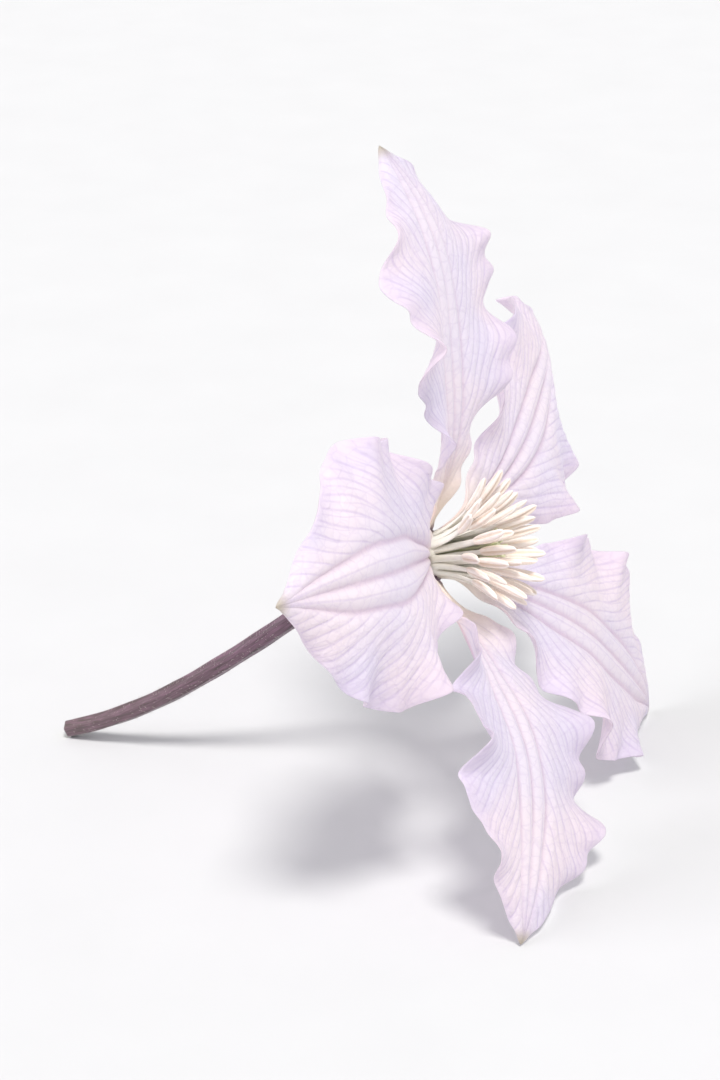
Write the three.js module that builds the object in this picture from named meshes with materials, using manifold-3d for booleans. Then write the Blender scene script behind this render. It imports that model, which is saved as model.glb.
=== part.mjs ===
import * as THREE from 'three';
import { mergeVertices } from 'three/addons/utils/BufferGeometryUtils.js';
import Module from 'manifold-3d';

// A clematis flower as picked, laid on a surface: five tepals, the stamens, the pistils, and the
// pedicel whose swollen end, the receptacle, carries them all. Millimetres, +Z up. The origin lies on
// the surface under the middle of the flower's box. The flower faces -Y and leans back. It rests on
// the tips of its two lower tepals and on the cut end of the pedicel.

// ---- Driving dimensions ----

// The head: its axis points this many degrees above the horizontal, and the middle of the
// receptacle's rim is this far from the origin.
const LEAN_BACK = 18;
const HEAD_AT = new THREE.Vector3(0.79, -11.31, 30.9);

// One row for each tepal, anticlockwise as seen from the front, starting at the top. Angles are in
// degrees: azimuth round the axis from +X, then how far the blade points forward of the flower's
// plane at its base (lift), along its middle (spread) and at its tip (curl), and its twist. cup is how
// hollow it is across its middle, and roll how far its margins turn back at the tip. sway is the
// sideways bend of the tip in millimetres, and phase shifts the waves of the margin.
const TEPALS = [
  {
    azimuth: 89, length: 47, width: 29, lift: 38, spread: 18, curl: -30,
    twist: 5, cup: 0.2, roll: -0.5, sway: -2, phase: 0.3,
  },
  {
    azimuth: 163, length: 44, width: 29.5, lift: 36, spread: 12, curl: -38,
    twist: -6, cup: -0.1, roll: -0.7, sway: 2, phase: 1.9,
  },
  {
    azimuth: 233.2, length: 46, width: 28, lift: 40, spread: 20, curl: -18,
    twist: 7, cup: 0.25, roll: -0.3, sway: -2, phase: 3.1,
  },
  {
    azimuth: 310, length: 45.5, width: 28.5, lift: 38, spread: 16, curl: -24,
    twist: -5, cup: 0.1, roll: -0.5, sway: 1, phase: 4.4,
  },
  {
    azimuth: 17, length: 43, width: 28, lift: 34, spread: 10, curl: -34,
    twist: 6, cup: -0.1, roll: -0.6, sway: 2, phase: 5.5,
  },
];
const TEPAL_THICKNESS = 0.65;
// The rows of the blade lie closer together towards the tip by this share.
const TEPAL_ROWS = 22;
const ROW_CROWDING = 0.3;
// Where the columns of the blade run, as shares of the half width: the three ribs, their flanks, and
// the margin.
const TEPAL_COLUMNS = [-1, -0.8, -0.57, -0.36, -0.23, -0.12, 0, 0.12, 0.23, 0.36, 0.57, 0.8, 1];
// The ribs are pleats, at full depth where half the blade's width is at least RIB_FULL_AT.
const RIBS = [-0.23, 0, 0.23];
const RIB_DEPTH = 0.6;
const RIB_WIDTH = 0.07;
const RIB_FULL_AT = 9;
// The outline. The blade is widest where s ** WIDEST_POWER is a half, past the middle. A greater
// BLADE_POWER makes the blade more slender, and TIP_POWER draws its tip in.
const CLAW_HALF_WIDTH = 1;
const TIP_HALF_WIDTH = 0.4;
const WIDEST_POWER = 1.36;
const BLADE_POWER = 0.93;
const TIP_POWER = 0.25;
const SCALLOP_SHARE = 0.035;
const SCALLOP_TURN = 27;
// The claw is hollowed like a gutter.
const CLAW_HOLLOW = 0.55;
// The waves of the margin: large ones, smaller ones between them, and a shift between both sides.
const RUFFLE_HEIGHT = 1.9;
const RUFFLES = 3.6;
const RUFFLE_SHIFT = 1.1;
const SMALL_RUFFLE_SHARE = 0.35;
const SMALL_RUFFLE_RATE = 2.3;
// Low slanting creases over the whole blade, by turns along it and across it in radians.
const CREASE_HEIGHT = 0.5;
const CREASE_TURN = 9;
const CREASE_SLANT = 2.2;

// The receptacle's rim and flat top, which the other pieces stand round and on, a small gap away.
const RIM_RADIUS = 3;
const TOP_HEIGHT = 0.6;
const GAP = 0.3;

// The middle of a claw's foot, from the axis and above the rim.
const CLAW_RADIUS = 3.4;
const CLAW_HEIGHT = 0.3;

// The stamens stand in three rings on a low ring that they grow from. lean is the angle from the
// flower's axis at the foot, and splay the angle at the tip, in degrees.
const STAMEN_RINGS = [
  { count: 10, foot: 1.75, lean: 2, splay: 20, length: 11.4 },
  { count: 13, foot: 2.15, lean: 8, splay: 34, length: 11 },
  { count: 15, foot: 2.5, lean: 14, splay: 50, length: 10.2 },
];
// Width and depth of a stamen at shares of its length: a flat filament, then the anther.
const STAMEN_SECTIONS = [
  { at: 0, width: 0.8, depth: 0.7 },
  { at: 0.3, width: 0.85, depth: 0.6 },
  { at: 0.52, width: 0.8, depth: 0.6 },
  { at: 0.6, width: 1.25, depth: 0.95 },
  { at: 0.8, width: 1.3, depth: 1 },
  { at: 0.95, width: 1, depth: 0.8 },
  { at: 1, width: 0.5, depth: 0.5 },
];
const STAMEN_RING_INNER = 1.45;
const STAMEN_RING_OUTER = 2.85;
const STAMEN_RING_HEIGHT = 0.8;
const STAMEN_FOOT_HEIGHT = 0.2;
// How much the stamens differ: in place round the ring as a share of their spacing, in splay in
// degrees, and in length as a share.
const STAMEN_PLACE_SCATTER = 0.6;
const STAMEN_SPLAY_SCATTER = 14;
const STAMEN_LENGTH_SCATTER = 0.14;

// The pistils: a bunch of styles on a small dome.
// The styles stand in a spiral, and the outer ones splay the most.
const STYLE_COUNT = 19;
const STYLE_LENGTH = 7.4;
const STYLE_SPLAY = 18;
const STYLE_LENGTH_SCATTER = 0.12;
const GOLDEN_ANGLE = Math.PI * (3 - Math.sqrt(5));
const DOME_RADIUS = 1.15;
const DOME_HEIGHT = 1;
const STYLE_SECTIONS = [
  { at: 0, width: 0.62, depth: 0.62 },
  { at: 0.4, width: 0.55, depth: 0.55 },
  { at: 0.85, width: 0.5, depth: 0.5 },
  { at: 1, width: 0.36, depth: 0.36 },
];

// The pedicel leaves the head straight back, bends down just behind it, and comes to the surface at
// a low angle. Its cut end is given from the origin.
const PEDICEL_RADIUS = 1.05;
const PEDICEL_RIDGES = 6;
const PEDICEL_RIDGE = 0.12;
const PEDICEL_STEPS = 30;
const PEDICEL_END = new THREE.Vector3(-2.2, 35.7, 0.99);
const PEDICEL_ARRIVAL = 20;
const CROOK_LENGTH = 11;
const ARRIVAL_LENGTH = 21;
const NECK_LENGTH = 6;

const radians = THREE.MathUtils.degToRad;

// ---- Shared shaping ----

const wasm = await Module();
wasm.setup();

// A closed solid through rings of points that go anticlockwise seen from the last ring.
function loft(rings) {
  const sides = rings[0].length;
  const last = (rings.length - 1) * sides;
  const triangles = [];
  for (let ring = 0; ring < last; ring += sides) {
    for (let i = 0; i < sides; i += 1) {
      const a = ring + i;
      const b = ring + ((i + 1) % sides);
      triangles.push(a, b, b + sides, a, b + sides, a + sides);
    }
  }
  for (let i = 1; i < sides - 1; i += 1) triangles.push(0, i + 1, i, last, last + i, last + i + 1);
  const geometry = new THREE.BufferGeometry().setFromPoints(rings.flat());
  geometry.setIndex(triangles);
  return geometry;
}

// One solid of several closed geometries that reach into each other.
function joined(geometries) {
  const solids = geometries.map((geometry) => {
    const bare = new THREE.BufferGeometry();
    bare.setAttribute('position', geometry.getAttribute('position'));
    bare.setIndex(geometry.getIndex());
    const shared = mergeVertices(bare);
    const index = shared.getIndex().array;
    const triVerts = [];
    for (let i = 0; i < index.length; i += 3) {
      const [a, b, c] = index.slice(i, i + 3);
      if (a !== b && b !== c && c !== a) triVerts.push(a, b, c);
    }
    const vertProperties = shared.getAttribute('position').array;
    const mesh = new wasm.Mesh({ numProp: 3, vertProperties, triVerts: Uint32Array.from(triVerts) });
    return new wasm.Manifold(mesh);
  });
  const { vertProperties, triVerts } = solids.reduce((whole, next) => whole.add(next)).getMesh();
  const result = new THREE.BufferGeometry();
  result.setAttribute('position', new THREE.BufferAttribute(vertProperties, 3));
  result.setIndex(new THREE.BufferAttribute(triVerts, 1));
  return result;
}

// A profile of [radius, height] points turned round the flower's axis.
function turned(profile, segments) {
  const points = profile.map(([radius, height]) => new THREE.Vector2(radius, height));
  return new THREE.LatheGeometry(points, segments).rotateX(Math.PI / 2);
}

// A number between 0 and 1, from the same row of numbers in every run.
let seed = 61;
function random() {
  seed = (Math.imul(seed, 1664525) + 1013904223) >>> 0;
  return seed / 2 ** 32;
}

// A value moved at random within a range round it.
function scattered(value, range) {
  return value + range * (random() - 0.5);
}

// A slender stalk with four sides that starts beside the axis and leans more and more outwards.
function stalk({ azimuth, foot, height, lean, splay, length, sections }) {
  const rings = [];
  const out = new THREE.Vector3(Math.cos(azimuth), Math.sin(azimuth), 0);
  const aside = new THREE.Vector3(-Math.sin(azimuth), Math.cos(azimuth), 0);
  const centre = out.clone().multiplyScalar(foot).setZ(height);
  let reached = 0;
  for (const { at, width, depth } of sections) {
    const middle = THREE.MathUtils.lerp(lean, splay, (reached + at) / 2);
    centre.addScaledVector(out, (at - reached) * length * Math.sin(middle));
    centre.z += (at - reached) * length * Math.cos(middle);
    reached = at;
    const angle = THREE.MathUtils.lerp(lean, splay, at);
    const outward = out.clone().multiplyScalar(Math.cos(angle)).setZ(-Math.sin(angle));
    const corners = [[1, 1], [-1, 1], [-1, -1], [1, -1]];
    rings.push(corners.map(([o, a]) => centre.clone()
      .addScaledVector(outward, (o * depth) / 2)
      .addScaledVector(aside, (a * width) / 2)));
  }
  return loft(rings);
}

// ---- The tepals ----

// How far forward of the flower's plane the midrib points at the share s of its length.
function midribAngle(tepal, s) {
  const back = 1 - s;
  return radians(tepal.lift * back * back + 2 * tepal.spread * s * back + tepal.curl * s * s);
}

// The midrib at s, as a distance from the axis and a height along it.
function midrib(tepal, s) {
  const steps = 24;
  const step = (s * tepal.length) / steps;
  let radius = CLAW_RADIUS;
  let height = CLAW_HEIGHT;
  for (let i = 0; i < steps; i += 1) {
    const angle = midribAngle(tepal, (s * (i + 0.5)) / steps);
    radius += step * Math.cos(angle);
    height += step * Math.sin(angle);
  }
  return { radius, height };
}

// Half the width at s: a narrow claw, widest past the middle, then drawn in to a point.
function halfWidth(tepal, s) {
  const swell = Math.max(Math.sin(Math.PI * s ** WIDEST_POWER), 0);
  const body = (tepal.width / 2) * swell ** (BLADE_POWER + TIP_POWER * s ** 4);
  const narrow = CLAW_HALF_WIDTH * (1 - s) ** 3 + TIP_HALF_WIDTH;
  return Math.hypot(body, narrow);
}

// The wave of the margin at s, on the side of q, rising from nothing at the ribs.
function ruffle(tepal, s, q) {
  const side = Math.sign(q);
  const turn = 2 * Math.PI * RUFFLES * s + tepal.phase + side * RUFFLE_SHIFT;
  const wave = Math.sin(turn) + SMALL_RUFFLE_SHARE * Math.sin(SMALL_RUFFLE_RATE * turn + side);
  return RUFFLE_HEIGHT * Math.abs(q) ** 3 * Math.sin(Math.PI * s) ** 0.7 * wave;
}

// A point of the blade's middle surface: s runs from claw to tip, q from margin to margin.
function tepalPoint(tepal, s, q) {
  const { radius, height } = midrib(tepal, s);
  const angle = midribAngle(tepal, s);
  const turn = radians(tepal.twist) * s;
  const scallop = SCALLOP_SHARE * Math.sin(SCALLOP_TURN * s + tepal.phase * (2 + Math.sign(q)));
  const half = halfWidth(tepal, s) * (1 + scallop);
  const hollow = CLAW_HOLLOW * (1 - s) ** 2 + 2 * tepal.cup * s * (1 - s) + tepal.roll * s * s;
  const ribs = RIBS.reduce((sum, rib) => sum + Math.exp(-(((q - rib) / RIB_WIDTH) ** 2)), 0);
  const pleat = RIB_DEPTH * Math.min(1, half / RIB_FULL_AT) * ribs;
  const creaseTurn = CREASE_TURN * s + CREASE_SLANT * q + tepal.phase;
  const crease = CREASE_HEIGHT * Math.sin(Math.PI * s) * Math.sin(creaseTurn);
  const across = half * q * (1 - (hollow * q) ** 2 / 6);
  const rise = (half * hollow * q * q) / 2 - pleat + crease + ruffle(tepal, s, q);
  // The blade's own directions: sideways, and out of its front face.
  const sideways = across * Math.cos(turn) - rise * Math.sin(turn) + tepal.sway * s * s;
  const front = across * Math.sin(turn) + rise * Math.cos(turn);
  const out = radius - front * Math.sin(angle);
  const forward = height + front * Math.cos(angle);
  const azimuth = radians(tepal.azimuth);
  return new THREE.Vector3(
    out * Math.cos(azimuth) - sideways * Math.sin(azimuth),
    out * Math.sin(azimuth) + sideways * Math.cos(azimuth),
    forward,
  );
}

// The direction out of the front face, from the surface close by.
function tepalNormal(tepal, s, q) {
  const reach = 0.02;
  const below = tepalPoint(tepal, Math.max(s - reach, 0), q);
  const above = tepalPoint(tepal, Math.min(s + reach, 1), q);
  const left = tepalPoint(tepal, s, Math.max(q - reach, -1));
  const right = tepalPoint(tepal, s, Math.min(q + reach, 1));
  return above.sub(below).cross(right.sub(left)).normalize();
}

// A closed blade: the middle surface thickened to both sides, both faces split along the same
// diagonals, and a rim round them.
function tepalGeometry(tepal) {
  const columns = TEPAL_COLUMNS.length;
  const points = [];
  for (const face of [0.5, -0.5]) {
    for (let row = 0; row <= TEPAL_ROWS; row += 1) {
      const u = row / TEPAL_ROWS;
      const s = u * (1 + ROW_CROWDING * (1 - u));
      for (const q of TEPAL_COLUMNS) {
        const normal = tepalNormal(tepal, s, q);
        points.push(tepalPoint(tepal, s, q).addScaledVector(normal, face * TEPAL_THICKNESS));
      }
    }
  }
  const back = (TEPAL_ROWS + 1) * columns;
  const at = (row, column) => row * columns + column;
  const triangles = [];
  for (let row = 0; row < TEPAL_ROWS; row += 1) {
    for (let column = 0; column < columns - 1; column += 1) {
      const corners = [at(row, column), at(row, column + 1), at(row + 1, column + 1), at(row + 1, column)];
      const [a, b, c, d] = corners;
      triangles.push(a, c, b, a, d, c);
      triangles.push(back + a, back + b, back + c, back + a, back + c, back + d);
    }
  }
  const rim = [];
  for (let column = 0; column < columns - 1; column += 1) rim.push(at(0, column));
  for (let row = 0; row < TEPAL_ROWS; row += 1) rim.push(at(row, columns - 1));
  for (let column = columns - 1; column > 0; column -= 1) rim.push(at(TEPAL_ROWS, column));
  for (let row = TEPAL_ROWS; row > 0; row -= 1) rim.push(at(row, 0));
  rim.forEach((a, i) => {
    const b = rim[(i + 1) % rim.length];
    triangles.push(a, b, back + a, b, back + b, back + a);
  });
  const geometry = new THREE.BufferGeometry().setFromPoints(points);
  geometry.setIndex(triangles);
  return geometry;
}

// ---- The stamens and the pistils ----

function stamensGeometry() {
  const bottom = TOP_HEIGHT + GAP;
  const top = bottom + STAMEN_RING_HEIGHT;
  const profile = [
    [STAMEN_RING_INNER, bottom],
    [STAMEN_RING_OUTER, bottom],
    [STAMEN_RING_OUTER, top],
    [STAMEN_RING_INNER, top],
    [STAMEN_RING_INNER, bottom],
  ];
  const stamens = STAMEN_RINGS.flatMap(({ count, foot, lean, splay, length }) => (
    Array.from({ length: count }, (_, i) => stalk({
      azimuth: (2 * Math.PI * scattered(i, STAMEN_PLACE_SCATTER)) / count + foot,
      foot,
      height: bottom + STAMEN_FOOT_HEIGHT,
      lean: radians(lean),
      splay: radians(scattered(splay, STAMEN_SPLAY_SCATTER)),
      length: length * scattered(1, STAMEN_LENGTH_SCATTER),
      sections: STAMEN_SECTIONS,
    }))
  ));
  return joined([turned(profile, 24), ...stamens]);
}

function pistilsGeometry() {
  const bottom = TOP_HEIGHT + GAP;
  const profile = [
    [0, bottom],
    [DOME_RADIUS, bottom],
    [DOME_RADIUS, bottom + 0.6 * DOME_HEIGHT],
    [0.6 * DOME_RADIUS, bottom + DOME_HEIGHT],
    [0, bottom + 1.1 * DOME_HEIGHT],
  ];
  const styles = Array.from({ length: STYLE_COUNT }, (_, i) => {
    const share = Math.sqrt((i + 0.5) / STYLE_COUNT);
    return stalk({
      azimuth: i * GOLDEN_ANGLE,
      foot: 0.8 * DOME_RADIUS * share,
      height: bottom + 0.4 * DOME_HEIGHT,
      lean: 0,
      splay: radians(STYLE_SPLAY * share),
      length: STYLE_LENGTH * scattered(1, STYLE_LENGTH_SCATTER),
      sections: STYLE_SECTIONS,
    });
  });
  return joined([turned(profile, 12), ...styles]);
}

// ---- The pedicel and its receptacle ----

function pedicelGeometry(head) {
  const start = new THREE.Vector3(0, 0, -NECK_LENGTH / 2);
  const crook = new THREE.Vector3(0, 0, -NECK_LENGTH / 2 - CROOK_LENGTH);
  const slope = radians(PEDICEL_ARRIVAL);
  const arrival = new THREE.Vector3(0, -Math.cos(slope), Math.sin(slope));
  const end = head.worldToLocal(PEDICEL_END.clone());
  const last = head.worldToLocal(PEDICEL_END.clone().addScaledVector(arrival, ARRIVAL_LENGTH));
  const path = new THREE.CubicBezierCurve3(start, crook, last, end);
  const corners = Array.from({ length: 2 * PEDICEL_RIDGES }, (_, i) => {
    const angle = (Math.PI * i) / PEDICEL_RIDGES;
    const radius = PEDICEL_RADIUS + (i % 2 ? 0 : PEDICEL_RIDGE);
    return new THREE.Vector2(radius * Math.cos(angle), radius * Math.sin(angle));
  });
  const tube = new THREE.ExtrudeGeometry(new THREE.Shape(corners), {
    steps: PEDICEL_STEPS,
    extrudePath: path,
    bevelEnabled: false,
  });
  const receptacle = turned([
    [0, -NECK_LENGTH],
    [0.9 * PEDICEL_RADIUS, -NECK_LENGTH],
    [1.2 * PEDICEL_RADIUS, -0.6 * NECK_LENGTH],
    [0.62 * RIM_RADIUS, -0.36 * NECK_LENGTH],
    [0.92 * RIM_RADIUS, -0.2 * NECK_LENGTH],
    [RIM_RADIUS, 0],
    [0.9 * RIM_RADIUS, TOP_HEIGHT],
    [0, TOP_HEIGHT],
  ], 16);
  return joined([tube, receptacle]);
}

// ---- The whole flower ----

const group = new THREE.Group();
const head = new THREE.Group();
head.position.copy(HEAD_AT);
head.rotation.x = radians(90 - LEAN_BACK);
group.add(head);
head.updateMatrixWorld();

function add(name, geometry, color, roughness) {
  const material = new THREE.MeshStandardMaterial({ color, roughness, metalness: 0 });
  const mesh = new THREE.Mesh(geometry, material);
  mesh.name = name;
  head.add(mesh);
}

TEPALS.forEach((tepal, i) => add(`tepal_${i + 1}`, tepalGeometry(tepal), 0xdfd0e8, 0.6));
add('stamens', stamensGeometry(), 0xe9e0b8, 0.7);
add('pistils', pistilsGeometry(), 0xdfe3b4, 0.7);
add('pedicel', pedicelGeometry(head), 0x5e4650, 0.55);

export default group;
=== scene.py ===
# %% [markdown]
# # A clematis flower, laid on a table
#
# A clematis has no petals. Its five broad lilac leaves are sepals, which are called tepals here.
# They stand round a small receptacle, with a tuft of stamens in the middle and the silky styles of
# the pistils inside it. The whole flower is carried by one bent stalk, the pedicel.
#
# The solids of the frame give every piece its place and size. This script makes each one again
# with a much finer surface from the same formulas, so that the blades get their frilled margins
# and veins, the anthers their pollen sacs, and the stalk its down.

import math

import bpy
import numpy as np
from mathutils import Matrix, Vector


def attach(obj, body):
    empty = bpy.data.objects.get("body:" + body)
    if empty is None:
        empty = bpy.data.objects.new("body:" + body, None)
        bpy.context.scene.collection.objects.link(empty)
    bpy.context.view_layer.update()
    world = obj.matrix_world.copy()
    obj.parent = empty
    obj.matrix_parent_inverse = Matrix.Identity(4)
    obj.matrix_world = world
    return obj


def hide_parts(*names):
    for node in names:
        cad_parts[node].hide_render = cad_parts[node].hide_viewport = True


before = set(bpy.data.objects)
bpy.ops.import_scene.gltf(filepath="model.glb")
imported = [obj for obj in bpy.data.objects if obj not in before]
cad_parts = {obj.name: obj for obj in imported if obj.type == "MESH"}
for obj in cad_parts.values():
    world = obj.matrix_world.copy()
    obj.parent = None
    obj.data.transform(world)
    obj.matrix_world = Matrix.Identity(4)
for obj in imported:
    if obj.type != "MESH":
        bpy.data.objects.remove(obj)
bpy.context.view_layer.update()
MM = 0.001
print("nodes:", sorted(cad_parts))

# %% [markdown]
# ## Where the head stands
#
# All parts of the head are worked out in its own frame: the axis of the flower is +Z, and the
# plane of the tepals is X and Y, with +Y upwards. One turn round X and one shift then bring every
# point to its place on the table. The same two values hold for all pieces, so they meet exactly.
# A tilted empty could carry the head as well, but the pieces have to ride on a body of the frame.

# %% The head's own frame
LEAN_BACK = 18
HEAD_AT = np.array([0.79, -11.31, 30.9])


def on_table(points):
    """Points of the head's frame as places over the table, all in millimetres."""
    turn = math.radians(90 - LEAN_BACK)
    x, y, z = np.moveaxis(np.asarray(points, float), -1, 0)
    back = y * math.cos(turn) - z * math.sin(turn)
    upwards = y * math.sin(turn) + z * math.cos(turn)
    return np.stack([x, back, upwards], -1) + HEAD_AT


print("middle of the receptacle's rim in mm:", on_table([0, 0, 0]).round(2))

# %% [markdown]
# ## The camera
#
# The flower in the picture is seen from the side and a little from the front, so that its tuft of
# stamens points to the right and its stalk runs off to the left. Lying on a table, it is also seen
# from a little above. A long lens keeps the near blades from looking stretched. The distance is
# worked out from the flower's own spread, so that it fills the picture's width.

# %% Camera
VIEW_AZIMUTH = -68
VIEW_ELEVATION = 23
LENS = 90
SENSOR = 36
PICTURE_SHARE = 0.9
ASPECT = 720 / 1080


def towards(azimuth, elevation):
    """The direction from the flower to a camera or lamp. Azimuth 0 is in front of it, at -Y."""
    azimuth, elevation = math.radians(azimuth), math.radians(elevation)
    return Vector((
        math.sin(azimuth) * math.cos(elevation),
        -math.cos(azimuth) * math.cos(elevation),
        math.sin(elevation),
    ))


view = towards(VIEW_AZIMUTH, VIEW_ELEVATION)
camera = bpy.data.objects.new("camera", bpy.data.cameras.new("camera"))
camera.data.lens = LENS
camera.data.sensor_width = SENSOR
camera.data.clip_start = 0.01
camera.rotation_euler = view.to_track_quat("Z", "Y").to_euler()
bpy.context.scene.collection.objects.link(camera)
bpy.context.scene.camera = camera

turn = camera.rotation_euler.to_matrix()
axes = np.array([turn.col[0], turn.col[1], turn.col[2]])
places = np.concatenate([[v.co for v in node.data.vertices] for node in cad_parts.values()]) @ axes.T
look_at = Vector((places.max(0) + places.min(0)) / 2 @ axes)
spread = np.ptp(places, axis=0)
distance = max(spread[0] / ASPECT, spread[1]) / PICTURE_SHARE * LENS / SENSOR
camera.location = look_at + view * distance
print("seen spread in mm:", (spread / MM).round(1), "camera distance in m:", round(distance, 3))

# %% [markdown]
# ## Colours and nodes
#
# Colours are written as sRGB hex, as a colour picker gives them, and one function turns them to
# the linear values that Blender works with. One more function adds a node with its settings and
# its links. A node given as an input is linked from its result, so that a material reads as a list
# of steps, each of which changes what the one before it made.

# %% Helpers for materials


def linear(hex_colour):
    """An sRGB hex colour as linear red, green, blue and alpha."""
    channels = [int(hex_colour[i:i + 2], 16) / 255 for i in (1, 3, 5)]
    return (*(c / 12.92 if c <= 0.04045 else ((c + 0.055) / 1.055) ** 2.4 for c in channels), 1.0)


def add_node(tree, kind, inputs, **settings):
    """Adds a node to a tree with its settings. Its inputs are values, hex colours, nodes or sockets."""
    node = tree.nodes.new("ShaderNode" + kind)
    for name, value in settings.items():
        setattr(node, name, value)
    for key, value in inputs.items():
        if isinstance(value, bpy.types.Node):
            value = next(socket for socket in value.outputs if socket.enabled)
        if isinstance(value, bpy.types.NodeSocket):
            tree.links.new(value, node.inputs[key])
        else:
            node.inputs[key].default_value = linear(value) if isinstance(value, str) else value
    return node


def new_material(name):
    """An empty material and its node tree."""
    material = bpy.data.materials.new(name)
    material.use_nodes = True
    material.node_tree.nodes.clear()
    return material, material.node_tree


print("a middle grey is", round(linear("#808080")[0], 3), "of white in linear light")

# %% [markdown]
# ## The table
#
# The picture was taken in a bright white studio. A wide, plain, matt white board stands for it, so
# that the eye stays on the flower and its soft shadow. A backdrop that curves up behind the flower
# would look right from one side only, and a flat board does from all.

# %% Table
TABLE_SIZE = 16.0

half_table = TABLE_SIZE / 2
table_mesh = bpy.data.meshes.new("table")
corners = [(x * half_table, y * half_table, 0) for x, y in ((-1, -1), (1, -1), (1, 1), (-1, 1))]
table_mesh.from_pydata(corners, [], [(0, 1, 2, 3)])
table = bpy.data.objects.new("table", table_mesh)
bpy.context.scene.collection.objects.link(table)

# Brushed paint dries very faintly mottled, in patches of about 17 mm, and has next to no gloss.
board, tree = new_material("matt white painted board")
place = add_node(tree, "TexCoord", {}).outputs["Object"]
mottle = add_node(tree, "TexNoise", {"Vector": place, "Scale": 1 / (16.7 * MM), "Detail": 4})
tone = add_node(tree, "Mix", {0: mottle, 6: "#CBCCCE", 7: "#D0D1D3"}, data_type="RGBA")
paint = add_node(tree, "BsdfPrincipled", {"Base Color": tone, "Roughness": 0.85})
add_node(tree, "OutputMaterial", {"Surface": paint})
table_mesh.materials.append(board)
print("table:", TABLE_SIZE, "m wide")

# %% [markdown]
# ## The light
#
# A white surround gives the high, soft light of the studio. Its walls are as bright as the table, so
# that the table's far edge doesn't show, and its ceiling is dimmer. One lamp high above, a little to the
# right of the camera, models the waves of the blades. A weaker and wider one, lower down on the left
# and towards the flower's back, keeps the shadows open and shines through the blades. Both are as
# wide as a large soft box, and so far away that the whole table is lit evenly. Area lamps would give
# the same shadows, but leave the far table dark.
#
# The colours are shown as they are, without a film curve, because the flower is so pale that a
# curve would grey it.

# %% Light
WALL_LIGHT = 1.052
CEILING_LIGHT = 0.66

world = bpy.data.worlds.new("white studio")
world.use_nodes = True
tree = world.node_tree
tree.nodes.clear()
upwards = add_node(tree, "SeparateXYZ", {0: add_node(tree, "TexCoord", {}).outputs["Generated"]}).outputs[2]
glow = add_node(tree, "MapRange", {0: upwards, 1: 0.0, 2: 0.5, 3: WALL_LIGHT, 4: CEILING_LIGHT})
walls = add_node(tree, "Background", {"Color": "#F8F8F9", "Strength": glow})
add_node(tree, "OutputWorld", {"Surface": walls})
bpy.context.scene.world = world
bpy.context.scene.view_settings.view_transform = "Standard"

LAMPS = {
    "key_lamp": dict(azimuth=-55, elevation=66, width=14, strength=2.45, colour="#FFFCF7"),
    "fill_lamp": dict(azimuth=-135, elevation=35, width=40, strength=1.1, colour="#FCFAFF"),
}
for name, lamp in LAMPS.items():
    light = bpy.data.objects.new(name, bpy.data.lights.new(name, "SUN"))
    light.data.angle = math.radians(lamp["width"])
    light.data.energy = lamp["strength"]
    light.data.color = linear(lamp["colour"])[:3]
    light.rotation_euler = towards(lamp["azimuth"], lamp["elevation"]).to_track_quat("Z", "Y").to_euler()
    bpy.context.scene.collection.objects.link(light)
print("lamps:", list(LAMPS))

# %% [markdown]
# ## Meshes from numbers
#
# Each piece below is worked out as arrays of points. A formula can bend, pleat and frill a blade in
# one go, and its values can be stored on the points for the material to use. Sculpting or a stack
# of modifiers could give a like shape, but not one that keeps to the frame so closely.

# %% Helpers for meshes


def unit(vectors):
    """Vectors made one long."""
    return vectors / np.linalg.norm(vectors, axis=-1, keepdims=True)


def circle(count):
    """Angles evenly spaced round a circle."""
    return 2 * np.pi * np.arange(count) / count


def grid_faces(rows, columns, start=0, flip=False, ring=False):
    """Faces between rows of points. As a ring, the last column meets the first."""
    row, column = np.meshgrid(np.arange(rows - 1), np.arange(columns if ring else columns - 1), indexing="ij")
    row, column = row.ravel() * columns, column.ravel()
    beside = (column + 1) % columns
    quads = np.stack([row + column, row + beside, row + columns + beside, row + columns + column], -1) + start
    return quads[:, ::-1] if flip else quads


def new_piece(name, points, faces, node, materials, kinds, marks):
    """A smooth piece in the place of a node. kinds picks the material of each face, and marks are
    named vectors on the points for the materials."""
    points = np.array(points) * MM
    # What would reach below the table lies on it.
    points[:, 2] = np.maximum(points[:, 2], 0)
    mesh = bpy.data.meshes.new(name)
    mesh.from_pydata(points.tolist(), [], faces)
    for material in materials:
        mesh.materials.append(material)
    mesh.polygons.foreach_set("material_index", np.asarray(kinds, np.int32))
    for key, values in marks.items():
        data = mesh.attributes.new(key, "FLOAT_VECTOR", "POINT").data
        data.foreach_set("vector", np.asarray(values, np.float32).ravel())
    mesh.shade_smooth()
    piece = bpy.data.objects.new(name, mesh)
    bpy.context.scene.collection.objects.link(piece)
    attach(piece, "root")
    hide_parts(node)
    print(f"{name}: {len(faces)} faces, lowest point {points[:, 2].min() / MM:.2f} mm over the table")
    return piece


def gather(parts):
    """Joins parts, each of points, faces and marks, and says which part each face is from."""
    starts = np.cumsum([0] + [len(points) for points, _, _ in parts])
    points = np.concatenate([part[0] for part in parts])
    faces = [[start + i for i in face] for start, part in zip(starts, parts) for face in part[1]]
    marks = np.concatenate([part[2] for part in parts])
    owners = np.repeat(np.arange(len(parts)), [len(part[1]) for part in parts])
    return points, faces, marks, owners


print("a grid of 3 by 3 points has", len(grid_faces(3, 3)), "faces")

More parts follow.
